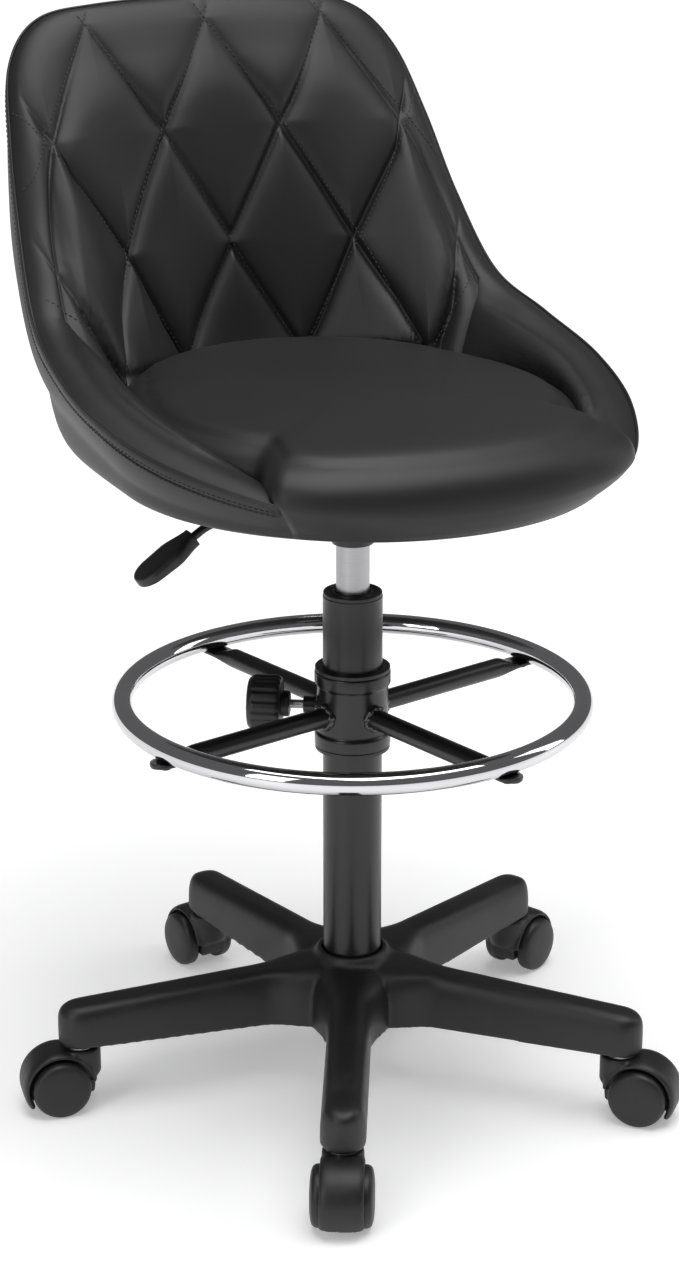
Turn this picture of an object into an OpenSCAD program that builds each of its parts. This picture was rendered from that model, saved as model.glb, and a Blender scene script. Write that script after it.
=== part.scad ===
// Drafting chair: bucket seat on a gas lift, clamped foot ring, five-arm castor base.
// The floor is Z = 0, the column's axis is the Z axis and the seat faces -Y. Millimetres.

/* [Base] */
// Radius of the circle that the castor stems stand on
base_radius = 241; // [200:1:300]
// Width of an arm at its lower edge
arm_width = 37; // [34:1:46]
// Gap between the top of a castor's hood and the arm above it
castor_gap = 3; // [2.5:0.5:6]
// Height of an arm at its tip
arm_tip_h = 35; // [30:1:46]
// Height of an arm where it meets the hub
arm_root_h = 51; // [44:1:64]
// Diameter of the hub that holds the column
hub_d = 84; // [74:1:104]
// Height of the hub
hub_h = 58; // [52:1:70]
// Turn of the base about the column, so that one arm points at this angle
base_heading = -118; // [-180:1:180]

/* [Castors] */
// Wheel diameter
wheel_d = 50; // [41:1:50]
// Width of one wheel
wheel_w = 13; // [10:1:16]
// Gap between the two wheels, filled by the hood's web
wheel_gap = 26; // [22:1:32]
// Distance from the stem's axis to the wheels' axle
castor_trail = 20; // [16:1:24]
// Axle diameter
axle_d = 6; // [5:0.5:8]
// Stem diameter
stem_d = 11; // [9:1:13]

/* [Column] */
// Outer diameter of the stand tube
column_d = 50; // [42:1:60]
// Wall of the stand tube
column_wall = 1.5; // [1.2:0.1:2.5]
// Height of the stand tube's top above the floor
column_top = 437; // [364:1:525]
// Diameter of the gas cylinder
cylinder_d = 28; // [24:1:33]
// Diameter of the piston rod
rod_d = 10; // [8:1:12]
// Full travel of the seat
lift_stroke = 200; // [166:1:220]
// How far the seat stands above its lowest position
lift_rest = 30; // [0:1:60]

/* [Foot ring] */
// Radius of the ring's centreline
ring_radius = 193; // [160:1:232]
// Diameter of the ring's tube
ring_tube_d = 18; // [15:1:22]
// Height of the ring's centreline below the top of the stand tube
ring_drop = 90; // [60:1:108]
// Diameter of a spoke
spoke_d = 17; // [14:1:20]
// Turn of the spokes about the column
spoke_heading = 13; // [-180:1:180]
// Outer diameter of the collar on a 50 mm stand tube; it grows with a thicker tube
collar_d = 64; // [60:1:76]
// Height of the collar
collar_h = 66; // [54:1:80]

/* [Clamp knob] */
// Diameter of the knob
knob_d = 48; // [40:1:58]
// Thickness of the knob's grip
knob_w = 28; // [22:1:34]
// Diameter of the clamp screw
stud_d = 8; // [6:1:10]

/* [Seat mechanism] */
// Side of the square steel plate
plate_side = 150; // [124:1:180]
// Thickness of the plate
plate_t = 3; // [2.5:0.1:4]
// Spacing of the four seat bolts
bolt_spacing = 110; // [92:1:132]
// Diameter of the lever's rod
lever_d = 7; // [6:0.5:8]
// Distance from the column's axis to the end of the lever's paddle
lever_reach = 188; // [157:1:226]

/* [Seat] */
// Gap between the stand tube's top and the seat's underside at its lowest
seat_clear = 63; // [62:1:80]
// Overall width of the bucket
seat_width = 460; // [384:1:552]
// Overall depth of the bucket, front lip to top of back
seat_depth = 544; // [454:1:652]
// Height of the back's top above the seat's underside
back_rise = 363; // [303:1:435]
// Height of the cushion's top above the seat's underside
cushion_rise = 80; // [67:1:96]
// Thickness of the moulded bucket shell
shell_t = 8; // [7:0.5:10]
// Thickness of the outer cover
cover_t = 4; // [3.5:0.5:5]
// Thickness of the quilted back pad
pad_t = 30; // [25:1:36]

/* [Hidden] */
$fn = 64;

run_fit = 0.05;      // radial clearance of a running fit
touch = 0.3;         // gap between pieces that meet at a curved face
nylon = "#191919";
steel_black = "#101010";
bright = "#b9babc";
hide = "#1c1c1c";

// ---------- castors ----------

wheel_r = wheel_d / 2;
hood_gap = 1.4;                       // between a wheel's tread and the hood
hood_wall = 5.6;
hood_r = wheel_r + hood_gap + hood_wall;
hood_cover = 5.5;                     // how far the hood reaches over each wheel
hood_web = wheel_gap - 1;
castor_top = wheel_r + hood_r;        // top of the hood above the floor
skirt_z = 7.5;                        // lower edge of the fender, on the side away from the stem
arm_bottom = castor_top + castor_gap;
hub_top = arm_bottom + hub_h;
boss_r = 17;
stem_len = 24;
stem_flange_r = boss_r - 4;

module at_castor(n) {
    rotate(base_heading + 72 * (n - 1)) translate([base_radius, 0, 0]) children();
}

// Turns a profile drawn in X and Z into a plate of that thickness, centred on the XZ plane.
module plate_xz(thickness) {
    rotate([90, 0, 0]) linear_extrude(thickness, center = true) children();
}

// The hood's side outline: an arch round the axle, open below and on the stem's side.
module hood_outline(outer, stem_side, far_side) {
    difference() {
        union() {
            translate([castor_trail, wheel_r]) circle(outer);
            translate([0, wheel_r + 2]) square([castor_trail, hood_r - 2]);
        }
        translate([castor_trail, far_side - 3 * wheel_r]) square(3 * wheel_r);
        translate([castor_trail - 3 * wheel_r - 0.01, stem_side - 3 * wheel_r]) square(3 * wheel_r + 0.02);
    }
}

module castor_hood(n) {
    color(nylon) at_castor(n) difference() {
        union() {
            plate_xz(hood_web) hood_outline(hood_r, wheel_r - 9, wheel_r - 9);
            plate_xz(hood_web + 2 * hood_cover) difference() {
                hood_outline(hood_r, wheel_r + 2, skirt_z);
                translate([castor_trail, wheel_r]) circle(wheel_r + hood_gap);
            }
            translate([0, 0, wheel_r + 4]) cylinder(r = boss_r, h = hood_r - 4);
        }
        translate([castor_trail, 0, wheel_r]) rotate([90, 0, 0])
            cylinder(d = axle_d, h = 4 * wheel_gap, center = true);
        for (side = [-1, 1])
            translate([castor_trail, side * (hood_web / 2 + wheel_w), wheel_r]) rotate([90, 0, 0])
                cylinder(r = wheel_r + hood_gap, h = 2 * wheel_w, center = true);
        translate([0, 0, castor_top - 14]) cylinder(d = stem_d, h = 30);
    }
}

module castor_stem(n) {
    color(bright) at_castor(n) {
        translate([0, 0, castor_top - 14]) cylinder(d = stem_d, h = 14);
        translate([0, 0, castor_top]) cylinder(r = stem_flange_r, h = castor_gap - touch);
        translate([0, 0, castor_top]) cylinder(d = stem_d, h = castor_gap + stem_len - 4);
        translate([0, 0, arm_bottom + stem_len - 4]) cylinder(d1 = stem_d, d2 = stem_d - 3, h = 3);
    }
}

module castor_axle(n) {
    reach = wheel_gap / 2 + wheel_w - 3;
    color(bright) at_castor(n) translate([castor_trail, 0, wheel_r]) rotate([90, 0, 0])
        cylinder(d = axle_d, h = 2 * reach, center = true);
}

// One wheel: tread, domed outer disc and inner hub, turned about its own axle.
module castor_wheel(n, side) {
    rim_in = wheel_r - 4;
    hub_r = axle_d / 2 + 3.5;
    bore_r = axle_d / 2 + run_fit;
    color(nylon) at_castor(n)
        translate([castor_trail, side * wheel_gap / 2, wheel_r]) rotate([-90 * side, 0, 0])
            difference() {
                union() {
                    rotate_extrude() polygon([[rim_in, 0], [wheel_r - 0.8, 0], [wheel_r, 1],
                        [wheel_r, wheel_w - 4], [wheel_r - 1.2, wheel_w - 1.8], [wheel_r - 4, wheel_w - 0.5],
                        [wheel_r - 9, wheel_w], [0, wheel_w], [0, wheel_w - 2.5], [rim_in, wheel_w - 4]]);
                    cylinder(r = hub_r, h = wheel_w - 1);
                }
                translate([0, 0, -1]) cylinder(r = bore_r, h = wheel_w - 1.9);
            }
}

// ---------- star base ----------

socket_wall = 2;
socket_r = stem_d / 2 + run_fit;
tube_seat_depth = hub_top - arm_bottom - 6;
hub_drop = 2;                         // how far the hub reaches below the arms

// An arm's side outline, from inside the hub to past its tip.
module arm_profile() {
    start = 0.73 * arm_width;
    tip = base_radius + arm_width;
    polygon([[start, arm_bottom], [tip, arm_bottom], [tip, arm_bottom + arm_tip_h - 1],
        [hub_d / 2, arm_bottom + arm_root_h], [start, arm_bottom + arm_root_h]]);
}

module star_base() {
    flare_z = arm_bottom + arm_root_h - 6;
    color(nylon) rotate(base_heading) difference() {
        union() {
            intersection() {
                for (n = [0:4]) rotate(72 * n) plate_xz(arm_width) arm_profile();
                cylinder(r = base_radius + arm_width / 2, h = 2 * hub_top);
            }
            translate([0, 0, arm_bottom - hub_drop]) cylinder(d = hub_d, h = flare_z - arm_bottom + hub_drop);
            translate([0, 0, flare_z]) cylinder(d1 = hub_d, d2 = column_d + 9, h = hub_top - flare_z);
        }
        translate([0, 0, hub_top - tube_seat_depth]) cylinder(d = column_d, h = 2 * tube_seat_depth);
        translate([0, 0, arm_bottom - 2 * hub_drop]) cylinder(d = column_d - 8, h = 20);
        for (n = [0:4]) rotate(72 * n) {
            translate([base_radius, 0, arm_bottom - 1])
                cylinder(r = socket_r + socket_wall, h = stem_len + 1);
            translate([base_radius, 0, arm_bottom + 4]) arm_hollow();
        }
    }
}

// The open channel under an arm, between its ribs; it stops short of the stem socket and of the hub.
module arm_hollow() {
    wall = 4;
    inner = arm_width - 2 * wall;
    from = base_radius - hub_d / 2 - 6;
    translate([-from, -inner / 2, -5]) cube([from - socket_r - socket_wall - 5, inner, arm_tip_h - 10]);
}

module stem_sockets() {
    color(bright) for (n = [1:5]) at_castor(n) translate([0, 0, arm_bottom]) difference() {
        cylinder(r = socket_r + socket_wall, h = stem_len);
        translate([0, 0, -1]) cylinder(r = socket_r, h = stem_len);
    }
}

// ---------- column and gas lift ----------

seat_base = column_top + lift_rest + seat_clear;
tube_foot = hub_top - tube_seat_depth;
tube_in_r = column_d / 2 - column_wall;
bush_len = 78;
bush_flange_t = 4;
mech_h = 20;                            // from the cylinder's top to the seat plate
cone_h = 24;                            // length of the seat's tapered socket
cylinder_top = seat_base - plate_t - mech_h;
bearing_t = 9;
bump_h = 14;
foot_floor = 3;                         // the closed floor of the stand tube
bearing_z = tube_foot + foot_floor + 0.2;
bump_z = bearing_z + bearing_t + touch;
cylinder_foot = bump_z + bump_h + 2 + lift_rest;
cylinder_r = cylinder_d / 2;
bore_r = cylinder_r - 2.5;
gland_h = 20;
rod_top = cylinder_foot - lift_rest + lift_stroke + gland_h + 14;
taper = 1.2;

module stand_tube() {
    color(steel_black) difference() {
        translate([0, 0, tube_foot]) cylinder(d = column_d, h = column_top - tube_foot);
        translate([0, 0, tube_foot + foot_floor]) cylinder(r = tube_in_r, h = column_top);
        translate([0, 0, tube_foot - 1]) cylinder(d = rod_d + 4, h = 10);
    }
}

module guide_bush() {
    color("#0d0d0d") difference() {
        union() {
            translate([0, 0, column_top - bush_len]) cylinder(r = tube_in_r, h = bush_len);
            translate([0, 0, column_top]) cylinder(d = column_d - 2, h = bush_flange_t);
        }
        translate([0, 0, column_top - bush_len - 1]) cylinder(r = cylinder_r + run_fit, h = bush_len + 20);
        translate([0, 0, column_top + bush_flange_t - 1.5]) difference() {
            cylinder(d = column_d - 7, h = 3);
            translate([0, 0, -1]) cylinder(d = cylinder_d + 7, h = 5);
        }
    }
}

module thrust_bearing() {
    ball_r = 2.5;
    pitch_r = rod_d / 2 + 6;
    race_t = (bearing_t - 2 * ball_r) / 2 + 0.6;
    color(bright) {
        for (z = [0, bearing_t - race_t]) translate([0, 0, bearing_z + z]) difference() {
            cylinder(r = pitch_r + 4, h = race_t);
            translate([0, 0, -1]) cylinder(r = rod_d / 2 + 1, h = bearing_t);
            translate([0, 0, z == 0 ? bearing_t / 2 : -bearing_t / 2 + race_t])
                rotate_extrude() translate([pitch_r, 0]) circle(ball_r + 0.05, $fn = 32);
        }
        for (a = [0:45:315])
            rotate(a) translate([pitch_r, 0, bearing_z + bearing_t / 2]) sphere(ball_r, $fn = 32);
    }
}

module bump_stop() {
    color("#222222") translate([0, 0, bump_z]) difference() {
        cylinder(r = rod_d / 2 + 6, h = bump_h);
        translate([0, 0, -1]) cylinder(r = rod_d / 2 + 0.1, h = bump_h + 2);
    }
}

module rod_clip() {
    color(bright) translate([0, 0, tube_foot - 2.7]) difference() {
        cylinder(r = rod_d / 2 + 5, h = 2.4);
        translate([0, 0, -1]) cylinder(r = rod_d / 2 - 1, h = 5);
        translate([0, -rod_d / 2 + 1, -1]) cube([30, rod_d - 2, 5]);
    }
}

module piston_rod() {
    groove_z = tube_foot - 2.8;
    color(bright) {
        difference() {
            translate([0, 0, groove_z - 4]) cylinder(d = rod_d, h = rod_top - groove_z + 4);
            translate([0, 0, groove_z]) difference() {
                cylinder(d = rod_d + 4, h = 2.6);
                translate([0, 0, -1]) cylinder(r = rod_d / 2 - 1.05, h = 5);
            }
        }
        translate([0, 0, rod_top]) cylinder(r = bore_r - 0.1, h = 8);
    }
}

module gas_cylinder() {
    color(bright) difference() {
        union() {
            translate([0, 0, cylinder_foot])
                cylinder(r = cylinder_r, h = cylinder_top - cylinder_foot - cone_h);
            translate([0, 0, cone_foot]) cylinder(r1 = cylinder_r, r2 = cylinder_r - taper, h = cone_h);
        }
        translate([0, 0, cylinder_foot - 1]) cylinder(r = rod_d / 2 + run_fit, h = gland_h + 2);
        translate([0, 0, cylinder_foot + gland_h])
            cylinder(r = bore_r, h = cylinder_top - cylinder_foot - gland_h - 16);
        translate([0, 0, cylinder_top - 14]) cylinder(r = pin_r + run_fit, h = 20);
    }
}

pin_r = 4;
pin_top = cylinder_top + 6.2;

module release_pin() {
    color("#c9a227") translate([0, 0, cylinder_top - 8]) cylinder(r = pin_r, h = pin_top - cylinder_top + 8);
}

// ---------- foot ring ----------

ring_height = column_top - ring_drop;
collar_foot = ring_height - 8 - collar_h / 2;
liner_t = 2;
liner_gap = run_fit;
collar_in_r = column_d / 2 + liner_t + 2 * liner_gap;
collar_tube_d = 50;                     // the stand tube that collar_d is given for
collar_r = (collar_d + column_d - collar_tube_d) / 2;
lip_t = 3;
tab_t = 4;
tab_w = 22;
tab_z = ring_height - ring_tube_d / 2 - tab_t;   // underside of the tabs that carry the ring
spoke_z = tab_z + tab_t / 2;
screw_r = 2.4;

module ring_liners() {
    inset = 20;                          // how far a liner reaches into the collar
    color("#141414") for (end = [0, 1])
        translate([0, 0, collar_foot + end * collar_h]) mirror([0, 0, end]) difference() {
            union() {
                translate([0, 0, -lip_t]) cylinder(r = collar_r - 0.5, h = lip_t - 0.1);
                translate([0, 0, -lip_t]) cylinder(r = column_d / 2 + liner_gap + liner_t, h = inset + lip_t);
            }
            translate([0, 0, -lip_t - 1]) cylinder(r = column_d / 2 + liner_gap, h = inset + lip_t + 2);
        }
}

module footring_collar() {
    color(steel_black) difference() {
        translate([0, 0, collar_foot]) cylinder(r = collar_r, h = collar_h);
        translate([0, 0, collar_foot - 1]) cylinder(r = collar_in_r, h = collar_h + 2);
        at_clamp() cylinder(r = stud_d / 2 + 0.5, h = 4 * collar_r);
    }
}

module at_spoke(k) {
    rotate(spoke_heading + 90 * k) children();
}

module footring_spokes() {
    start = collar_r - 2;
    tube_end = ring_radius - 26;
    tab_start = ring_radius - 12;
    tab_mid = ring_radius + ring_tube_d / 2 + 4 - tab_w / 2;
    color(steel_black) for (k = [0:3]) at_spoke(k) difference() {
        union() {
            translate([start, 0, spoke_z]) rotate([0, 90, 0]) cylinder(d = spoke_d, h = tube_end - start);
            hull() {
                translate([tube_end - 1, 0, spoke_z]) rotate([0, 90, 0])
                    cylinder(d = spoke_d, h = 1, $fn = 32);
                translate([tab_start, -tab_w / 2, tab_z]) cube([1, tab_w, tab_t - 0.1]);
            }
            translate([tab_start, -tab_w / 2, tab_z]) cube([tab_mid - tab_start, tab_w, tab_t - 0.1]);
            translate([tab_mid, 0, tab_z]) cylinder(d = tab_w, h = tab_t - 0.1);
        }
        cylinder(r = collar_r, h = 2 * ring_height);
        translate([ring_radius, 0, tab_z - 1]) cylinder(r = screw_r + 0.2, h = 2 * tab_t);
    }
}

module footring_ring() {
    color("#d5d6d8") translate([0, 0, ring_height]) difference() {
        rotate_extrude($fn = 128) translate([ring_radius, 0]) circle(d = ring_tube_d);
        for (k = [0:3]) at_spoke(k)
            translate([ring_radius, 0, -ring_tube_d / 2 - 1]) cylinder(r = screw_r + 0.1, h = 8);
    }
}

module footring_screws() {
    color("#202020") for (k = [0:3]) at_spoke(k) translate([ring_radius, 0, tab_z]) {
        translate([0, 0, -3.2]) cylinder(r1 = 4, r2 = 5.2, h = 3.1);
        translate([0, 0, -0.4]) cylinder(r = screw_r, h = 10);
    }
}

// ---------- clamp screw ----------

clamp_heading = spoke_heading + 135;
clamp_z = spoke_z + 3;
shoe_t = 2.5;
shoe_face = column_d / 2 + run_fit;
stud_start = shoe_face + shoe_t;
nut_r = 7;
nut_h = 11;
nut_start = sqrt(pow(collar_r, 2) - pow(nut_r, 2)) - 1;
knob_start = nut_start + nut_h + 18.8; // foot of the grip, clear of the nut
neck_r = 11;
neck_len = 7;
stud_grip = 12;                         // how far the stud goes into the knob

// Puts things on the clamp screw's axis, with local Z pointing away from the column.
module at_clamp() {
    rotate(clamp_heading) translate([0, 0, clamp_z]) rotate([0, 90, 0]) children();
}

module clamp_nut() {
    color(steel_black) at_clamp() difference() {
        translate([0, 0, nut_start]) cylinder(r = nut_r, h = nut_h);
        translate([0, 0, nut_start - 1]) cylinder(r = stud_d / 2 + run_fit, h = nut_h + 2);
        rotate([0, -90, 0]) translate([0, 0, -collar_h]) cylinder(r = collar_r, h = 2 * collar_h);
    }
}

module clamp_shoe() {
    color("#e8e6df") at_clamp() translate([0, 0, shoe_face + 0.15])
        cylinder(r = stud_d / 2 - 0.6, h = shoe_t - 0.25);
}

module clamp_stud() {
    color(bright) at_clamp() translate([0, 0, stud_start])
        cylinder(d = stud_d, h = knob_start + stud_grip - stud_start);
}

module clamp_knob() {
    flutes = 16;
    flute_r = 2;
    color(nylon) at_clamp() translate([0, 0, knob_start]) difference() {
        union() {
            translate([0, 0, -neck_len]) cylinder(r = neck_r, h = neck_len + 1);
            rotate_extrude() polygon([[0, 0], [knob_d / 2 - 2, 0], [knob_d / 2, 2], [knob_d / 2, knob_w - 6],
                [knob_d / 2 - 1.8, knob_w - 1.8], [knob_d / 2 - 6, knob_w], [0, knob_w]]);
        }
        for (a = [0:flutes - 1]) rotate(360 / flutes * a)
            translate([knob_d / 2 + 0.6 * flute_r, 0, -1]) cylinder(r = flute_r, h = knob_w - 4, $fn = 24);
        translate([0, 0, -neck_len - 1]) cylinder(d = stud_d, h = neck_len + 1 + stud_grip);
    }
}

// ---------- seat mechanism ----------

plate_z = seat_base - plate_t;
cone_foot = cylinder_top - cone_h;
cone_r = cylinder_r + 3.4;
taper_fit = 0.02;                       // radial clearance of the cylinder's taper in its socket
lever_z = pin_top + lever_d / 2 + touch;
pivot_x = -34;
pivot_r = 2.5;
bush_r = lever_d / 2 + 3;
bush_half_x = 5;
paddle_len = 58;
paddle_w = 32;
paddle_t = 11;
paddle_start = 20;                      // along the drooping rod
droop = 33;                             // fall of the paddle below the rod's line, in degrees
bend_x = -(lever_reach - (paddle_len + paddle_start) * cos(droop));
mech_half = 26;                         // half the spacing of the plate's two ribs
rib_t = 3;
bolt_r = 3;
bolt_head_r = 5.5;
washer_r = 8;
washer_t = 1.5;
tee_barrel_r = 4.5;
tee_flange_r = 9;
tee_hole_r = tee_barrel_r + 0.1;        // through the shell

module bolt_places(spacing) {
    for (x = [-1, 1], y = [-1, 1]) translate([x * spacing / 2, y * spacing / 2, 0]) children();
}

module seat_plate() {
    rib_h = 12;
    corner_r = 12;
    color(steel_black) difference() {
        union() {
            translate([0, 0, plate_z]) linear_extrude(plate_t)
                offset(corner_r) square(plate_side - 2 * corner_r, center = true);
            for (side = [-1, 1])
                translate([-plate_side / 2 + 8, side * mech_half - rib_t / 2, plate_z - rib_h])
                    cube([plate_side - 16, rib_t, rib_h + 0.5]);
        }
        bolt_places(bolt_spacing) translate([0, 0, plate_z - 20]) cylinder(r = bolt_r + 0.5, h = 40);
    }
}

module socket_cone() {
    yoke_z = cylinder_top - 2;
    cheek_x = pivot_x - bush_half_x;
    color(steel_black) difference() {
        union() {
            translate([0, 0, cone_foot]) cylinder(r = cone_r, h = cylinder_top - cone_foot);
            translate([cheek_x, -mech_half + 1.5, yoke_z - 1])
                cube([mech_half - cheek_x, 2 * mech_half - 3, 3]);
            for (side = [-1, 1]) translate([cheek_x, side * (mech_half - 3) - 1.5, yoke_z - 1])
                cube([mech_half - cheek_x, 3, plate_z - yoke_z + 1 - 0.1]);
        }
        translate([0, 0, cone_foot])
            cylinder(r1 = cylinder_r + taper_fit, r2 = cylinder_r - taper + taper_fit, h = cone_h);
        translate([0, 0, cylinder_top - 0.1]) cylinder(r = cylinder_r, h = 3);
    }
}

// The nylon pivot that the lever rocks in, held between the yoke's two cheeks.
module lever_bush() {
    half = mech_half - 4.6;
    foot_z = cylinder_top + 0.2;
    color("#dcd9cf") difference() {
        translate([pivot_x - bush_half_x, -half, foot_z])
            cube([2 * bush_half_x, 2 * half, lever_z + bush_r - foot_z]);
        translate([pivot_x, 0, lever_z]) rotate([90, 0, 0])
            cylinder(r = pivot_r + run_fit, h = 4 * half, center = true);
        translate([pivot_x - 20, -lever_d / 2 - 1, lever_z - 20]) cube([40, lever_d + 2, 60]);
    }
}

module lever_rod() {
    color(steel_black) {
        translate([bend_x, 0, lever_z]) rotate([0, 90, 0]) cylinder(d = lever_d, h = 3 - bend_x);
        translate([pivot_x, 0, lever_z]) rotate([90, 0, 0])
            cylinder(r = pivot_r, h = 2 * (mech_half - 6), center = true);
        translate([bend_x, 0, lever_z]) sphere(d = lever_d + 0.4);
        translate([bend_x, 0, lever_z]) rotate([0, -90 - droop, 0])
            cylinder(d = lever_d, h = paddle_start + 14);
    }
}

module lever_paddle() {
    color(nylon) translate([bend_x, 0, lever_z]) rotate([0, -90 - droop, 0]) difference() {
        translate([0, 0, paddle_start]) hull() {
            translate([-5, -7, 0]) cube([10, 14, 2]);
            translate([-paddle_t / 2, -paddle_w / 2 + 2, 20]) cube([paddle_t, paddle_w - 4, 4]);
            translate([0, 0, paddle_len - paddle_w / 2]) rotate([0, 90, 0])
                cylinder(d = paddle_w, h = paddle_t, center = true, $fn = 32);
        }
        cylinder(d = lever_d, h = paddle_start + 14);
    }
}

module plate_bolts() {
    color(bright) bolt_places(bolt_spacing) translate([0, 0, plate_z]) {
        translate([0, 0, -washer_t - 4]) cylinder(r = bolt_head_r, h = 4, $fn = 6);
        translate([0, 0, -washer_t - 0.1]) cylinder(r = washer_r, h = washer_t);
        translate([0, 0, -2]) cylinder(r = bolt_r, h = 2 + plate_t + cover_t + shell_t + 1.5);
    }
}

module tee_nuts() {
    color(bright) bolt_places(bolt_spacing) translate([0, 0, seat_base]) difference() {
        union() {
            translate([0, 0, cover_t + shell_t + 0.3]) cylinder(r = tee_flange_r, h = 1.5);
            translate([0, 0, 1]) cylinder(r = tee_barrel_r, h = cover_t + shell_t);
        }
        translate([0, 0, -5]) cylinder(r = bolt_r, h = 40);
    }
}

// ---------- bucket ----------

// Half of the rim, front centre to top centre: shares of the half width, depth and rise.
rim_half = [
    [0, -226, 40], [0.37, -216, 42], [0.66, -184, 50], [0.9, -93, 67], [1, 0, 87], [0.99, 85, 108],
    [0.943, 155, 133], [0.896, 210, 194], [0.852, 252, 260], [0.79, 288, 316], [0.65, 308, 350],
    [0.41, 314, 360], [0, 318, 363]];
rim_n = len(rim_half) - 1;
pole_y = -10 * seat_depth / 544;
wide = seat_width / 460;
deep = seat_depth / 544;

// A bowl's shape: its belly's half width, its reach to the back and to the front, the power that squares
// off its back corners, and its section's knots as [share of the belly, height, growth towards the top].
shell_shape = [[214 * wide, 295 * deep, 210 * deep, 3.6], [0.89, 14, 0], [0.972, 71, 53], 0.06, 2, 17];
lining_shape = [[226 * wide, 285 * deep, 210 * deep, 2], [0.8, 9, 0], [0.93, 44, 16], 0.03, 0, 0];

function rim_knot(k) =
    let (m = k < 0 ? -k : k > rim_n ? 2 * rim_n - k : k, p = rim_half[m], s = k == m ? 1 : -1)
    [s * p[0] * seat_width / 2, p[1] * seat_depth / 544, seat_base + p[2] * back_rise / 363];

// Catmull-Rom spline through four points, at t from 0 to 1 between the middle two.
function spline(a, b, c, d, t) =
    0.5 * ((2 * b) + (c - a) * t + (2 * a - 5 * b + 4 * c - d) * t * t + (3 * b - a - 3 * c + d) * t * t * t);

// The rim at k, from 0 at the front centre to rim_n at the top centre.
function rim_side(k) =
    let (i = min(floor(k), rim_n - 1))
    spline(rim_knot(i - 1), rim_knot(i), rim_knot(i + 1), rim_knot(i + 2), k - i);

// The whole rim at k, from 0 to 2 * rim_n, round by the right-hand side to the top and back by the left.
function rim(k) = k <= rim_n ? rim_side(k) : let (p = rim_side(2 * rim_n - k)) [-p[0], p[1], p[2]];

// Distance from the pole to the bowl's belly in a direction of unit length.
function belly(ux, uy, form) =
    let (n = uy > 0 ? form[3] : 2, reach = uy > 0 ? form[1] : form[2])
    pow(pow(abs(ux) / form[0], n) + pow(abs(uy) / reach, n), -1 / n);

// The section of a bowl through rim point k, as [distance, height] knots, inset by t.
function section(k, t, shape) =
    let (r = rim(k), dx = r[0], dy = r[1] - pole_y, d = norm([dx, dy]), l = belly(dx / d, dy / d, shape[0]),
         rise = r[2] - seat_base, h = max(0, min(1, (rise - 40) / 323)), low = shape[1], mid = shape[2],
         s3 = [(mid[0] + shape[3] * h) * l, seat_base + min(mid[1] + mid[2] * h, 0.5 * rise)],
         swell = shape[4] + shape[5] * h * 2 * abs(dx * dy) / (d * d),
         m = [(s3[0] + d) / 2 + swell, (s3[1] + r[2]) / 2])
    [[0, seat_base + t], [0.45 * l, seat_base + t], [low[0] * l - 0.5 * t, seat_base + low[1] + 0.87 * t],
     s3 + t * [-0.94, 0.33], m + t * [-1, 0.1], [d - t, r[2]]];

// A point of a bowl: k round the rim, v from 0 at the pole to 1 at the rim, inset by t.
function bowl(k, v, t, shape = shell_shape) =
    let (s = section(k, t, shape), w = v * 5, i = min(floor(w), 4),
         a = i > 0 ? s[i - 1] : [-s[1][0], s[1][1]], b = s[i], c = s[i + 1],
         d = i < 4 ? s[i + 2] : 2 * s[5] - s[4], p = spline(a, b, c, d, w - i),
         r = rim(k), dx = r[0], dy = r[1] - pole_y, q = norm([dx, dy]))
    [dx / q * p[0], pole_y + dy / q * p[0], max(p[1], seat_base + t)];

// A closed skin over a stack of closed loops, with a fan to a point at each end. From loop number
// turn on, its squares are split along the other diagonal, so that an inner face matches the face it meets.
module skin(loops, first, last, turn = 1000) {
    n = len(loops[0]);
    m = len(loops);
    points = concat([first], [for (l = loops) each l], [last]);
    faces = concat(
        [for (i = [0:n - 1]) [0, 1 + i, 1 + (i + 1) % n]],
        [for (j = [0:m - 2], i = [0:n - 1]) each let (a = 1 + j * n, b = a + n, e = (i + 1) % n)
            j < turn ? [[a + i, b + i, b + e], [a + i, b + e, a + e]]
                : [[a + i, b + i, a + e], [b + i, b + e, a + e]]],
        [for (i = [0:n - 1]) [m * n + 1, 1 + (m - 1) * n + (i + 1) % n, 1 + (m - 1) * n + i]]);
    polyhedron(points, faces);
}

// A closed slab between two grids of points of the same size, face a and face b.
module slab(a, b) {
    n = len(a);
    m = len(a[0]);
    points = concat([for (r = a) each r], [for (r = b) each r]);
    o = n * m;
    faces = concat(
        [for (i = [0:n - 2], j = [0:m - 2]) each let (p = i * m + j)
            [[p, p + m, p + m + 1], [p, p + m + 1, p + 1],
             [o + p, o + p + m + 1, o + p + m], [o + p, o + p + 1, o + p + m + 1]]],
        [for (i = [0:n - 2]) each let (p = i * m, q = i * m + m - 1)
            [[p, o + p + m, p + m], [p, o + p, o + p + m], [q, q + m, o + q + m], [q, o + q + m, o + q]]],
        [for (j = [0:m - 2]) each let (p = j, q = (n - 1) * m + j)
            [[p, p + 1, o + p + 1], [p, o + p + 1, o + p], [q, o + q + 1, q + 1], [q, o + q, o + q + 1]]]);
    polyhedron(points, faces);
}

around = [for (i = [0:43]) 2 * rim_n * i / 44];
up = [0.2, 0.3, 0.4, 0.5, 0.6, 0.7, 0.8, 0.9, 1];

// One layer of the bowl, from inset t0 to inset t1, as a whole dish.
module bowl_layer(t0, t1) {
    m = len(up);
    skin(concat(
            [for (v = up) [for (k = around) bowl(k, v, t0)]],
            [for (j = [m - 1:-1:0]) [for (k = around) bowl(k, up[j], t1)]]),
        [0, pole_y, seat_base + t0], [0, pole_y, seat_base + t1], m);
}

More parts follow.
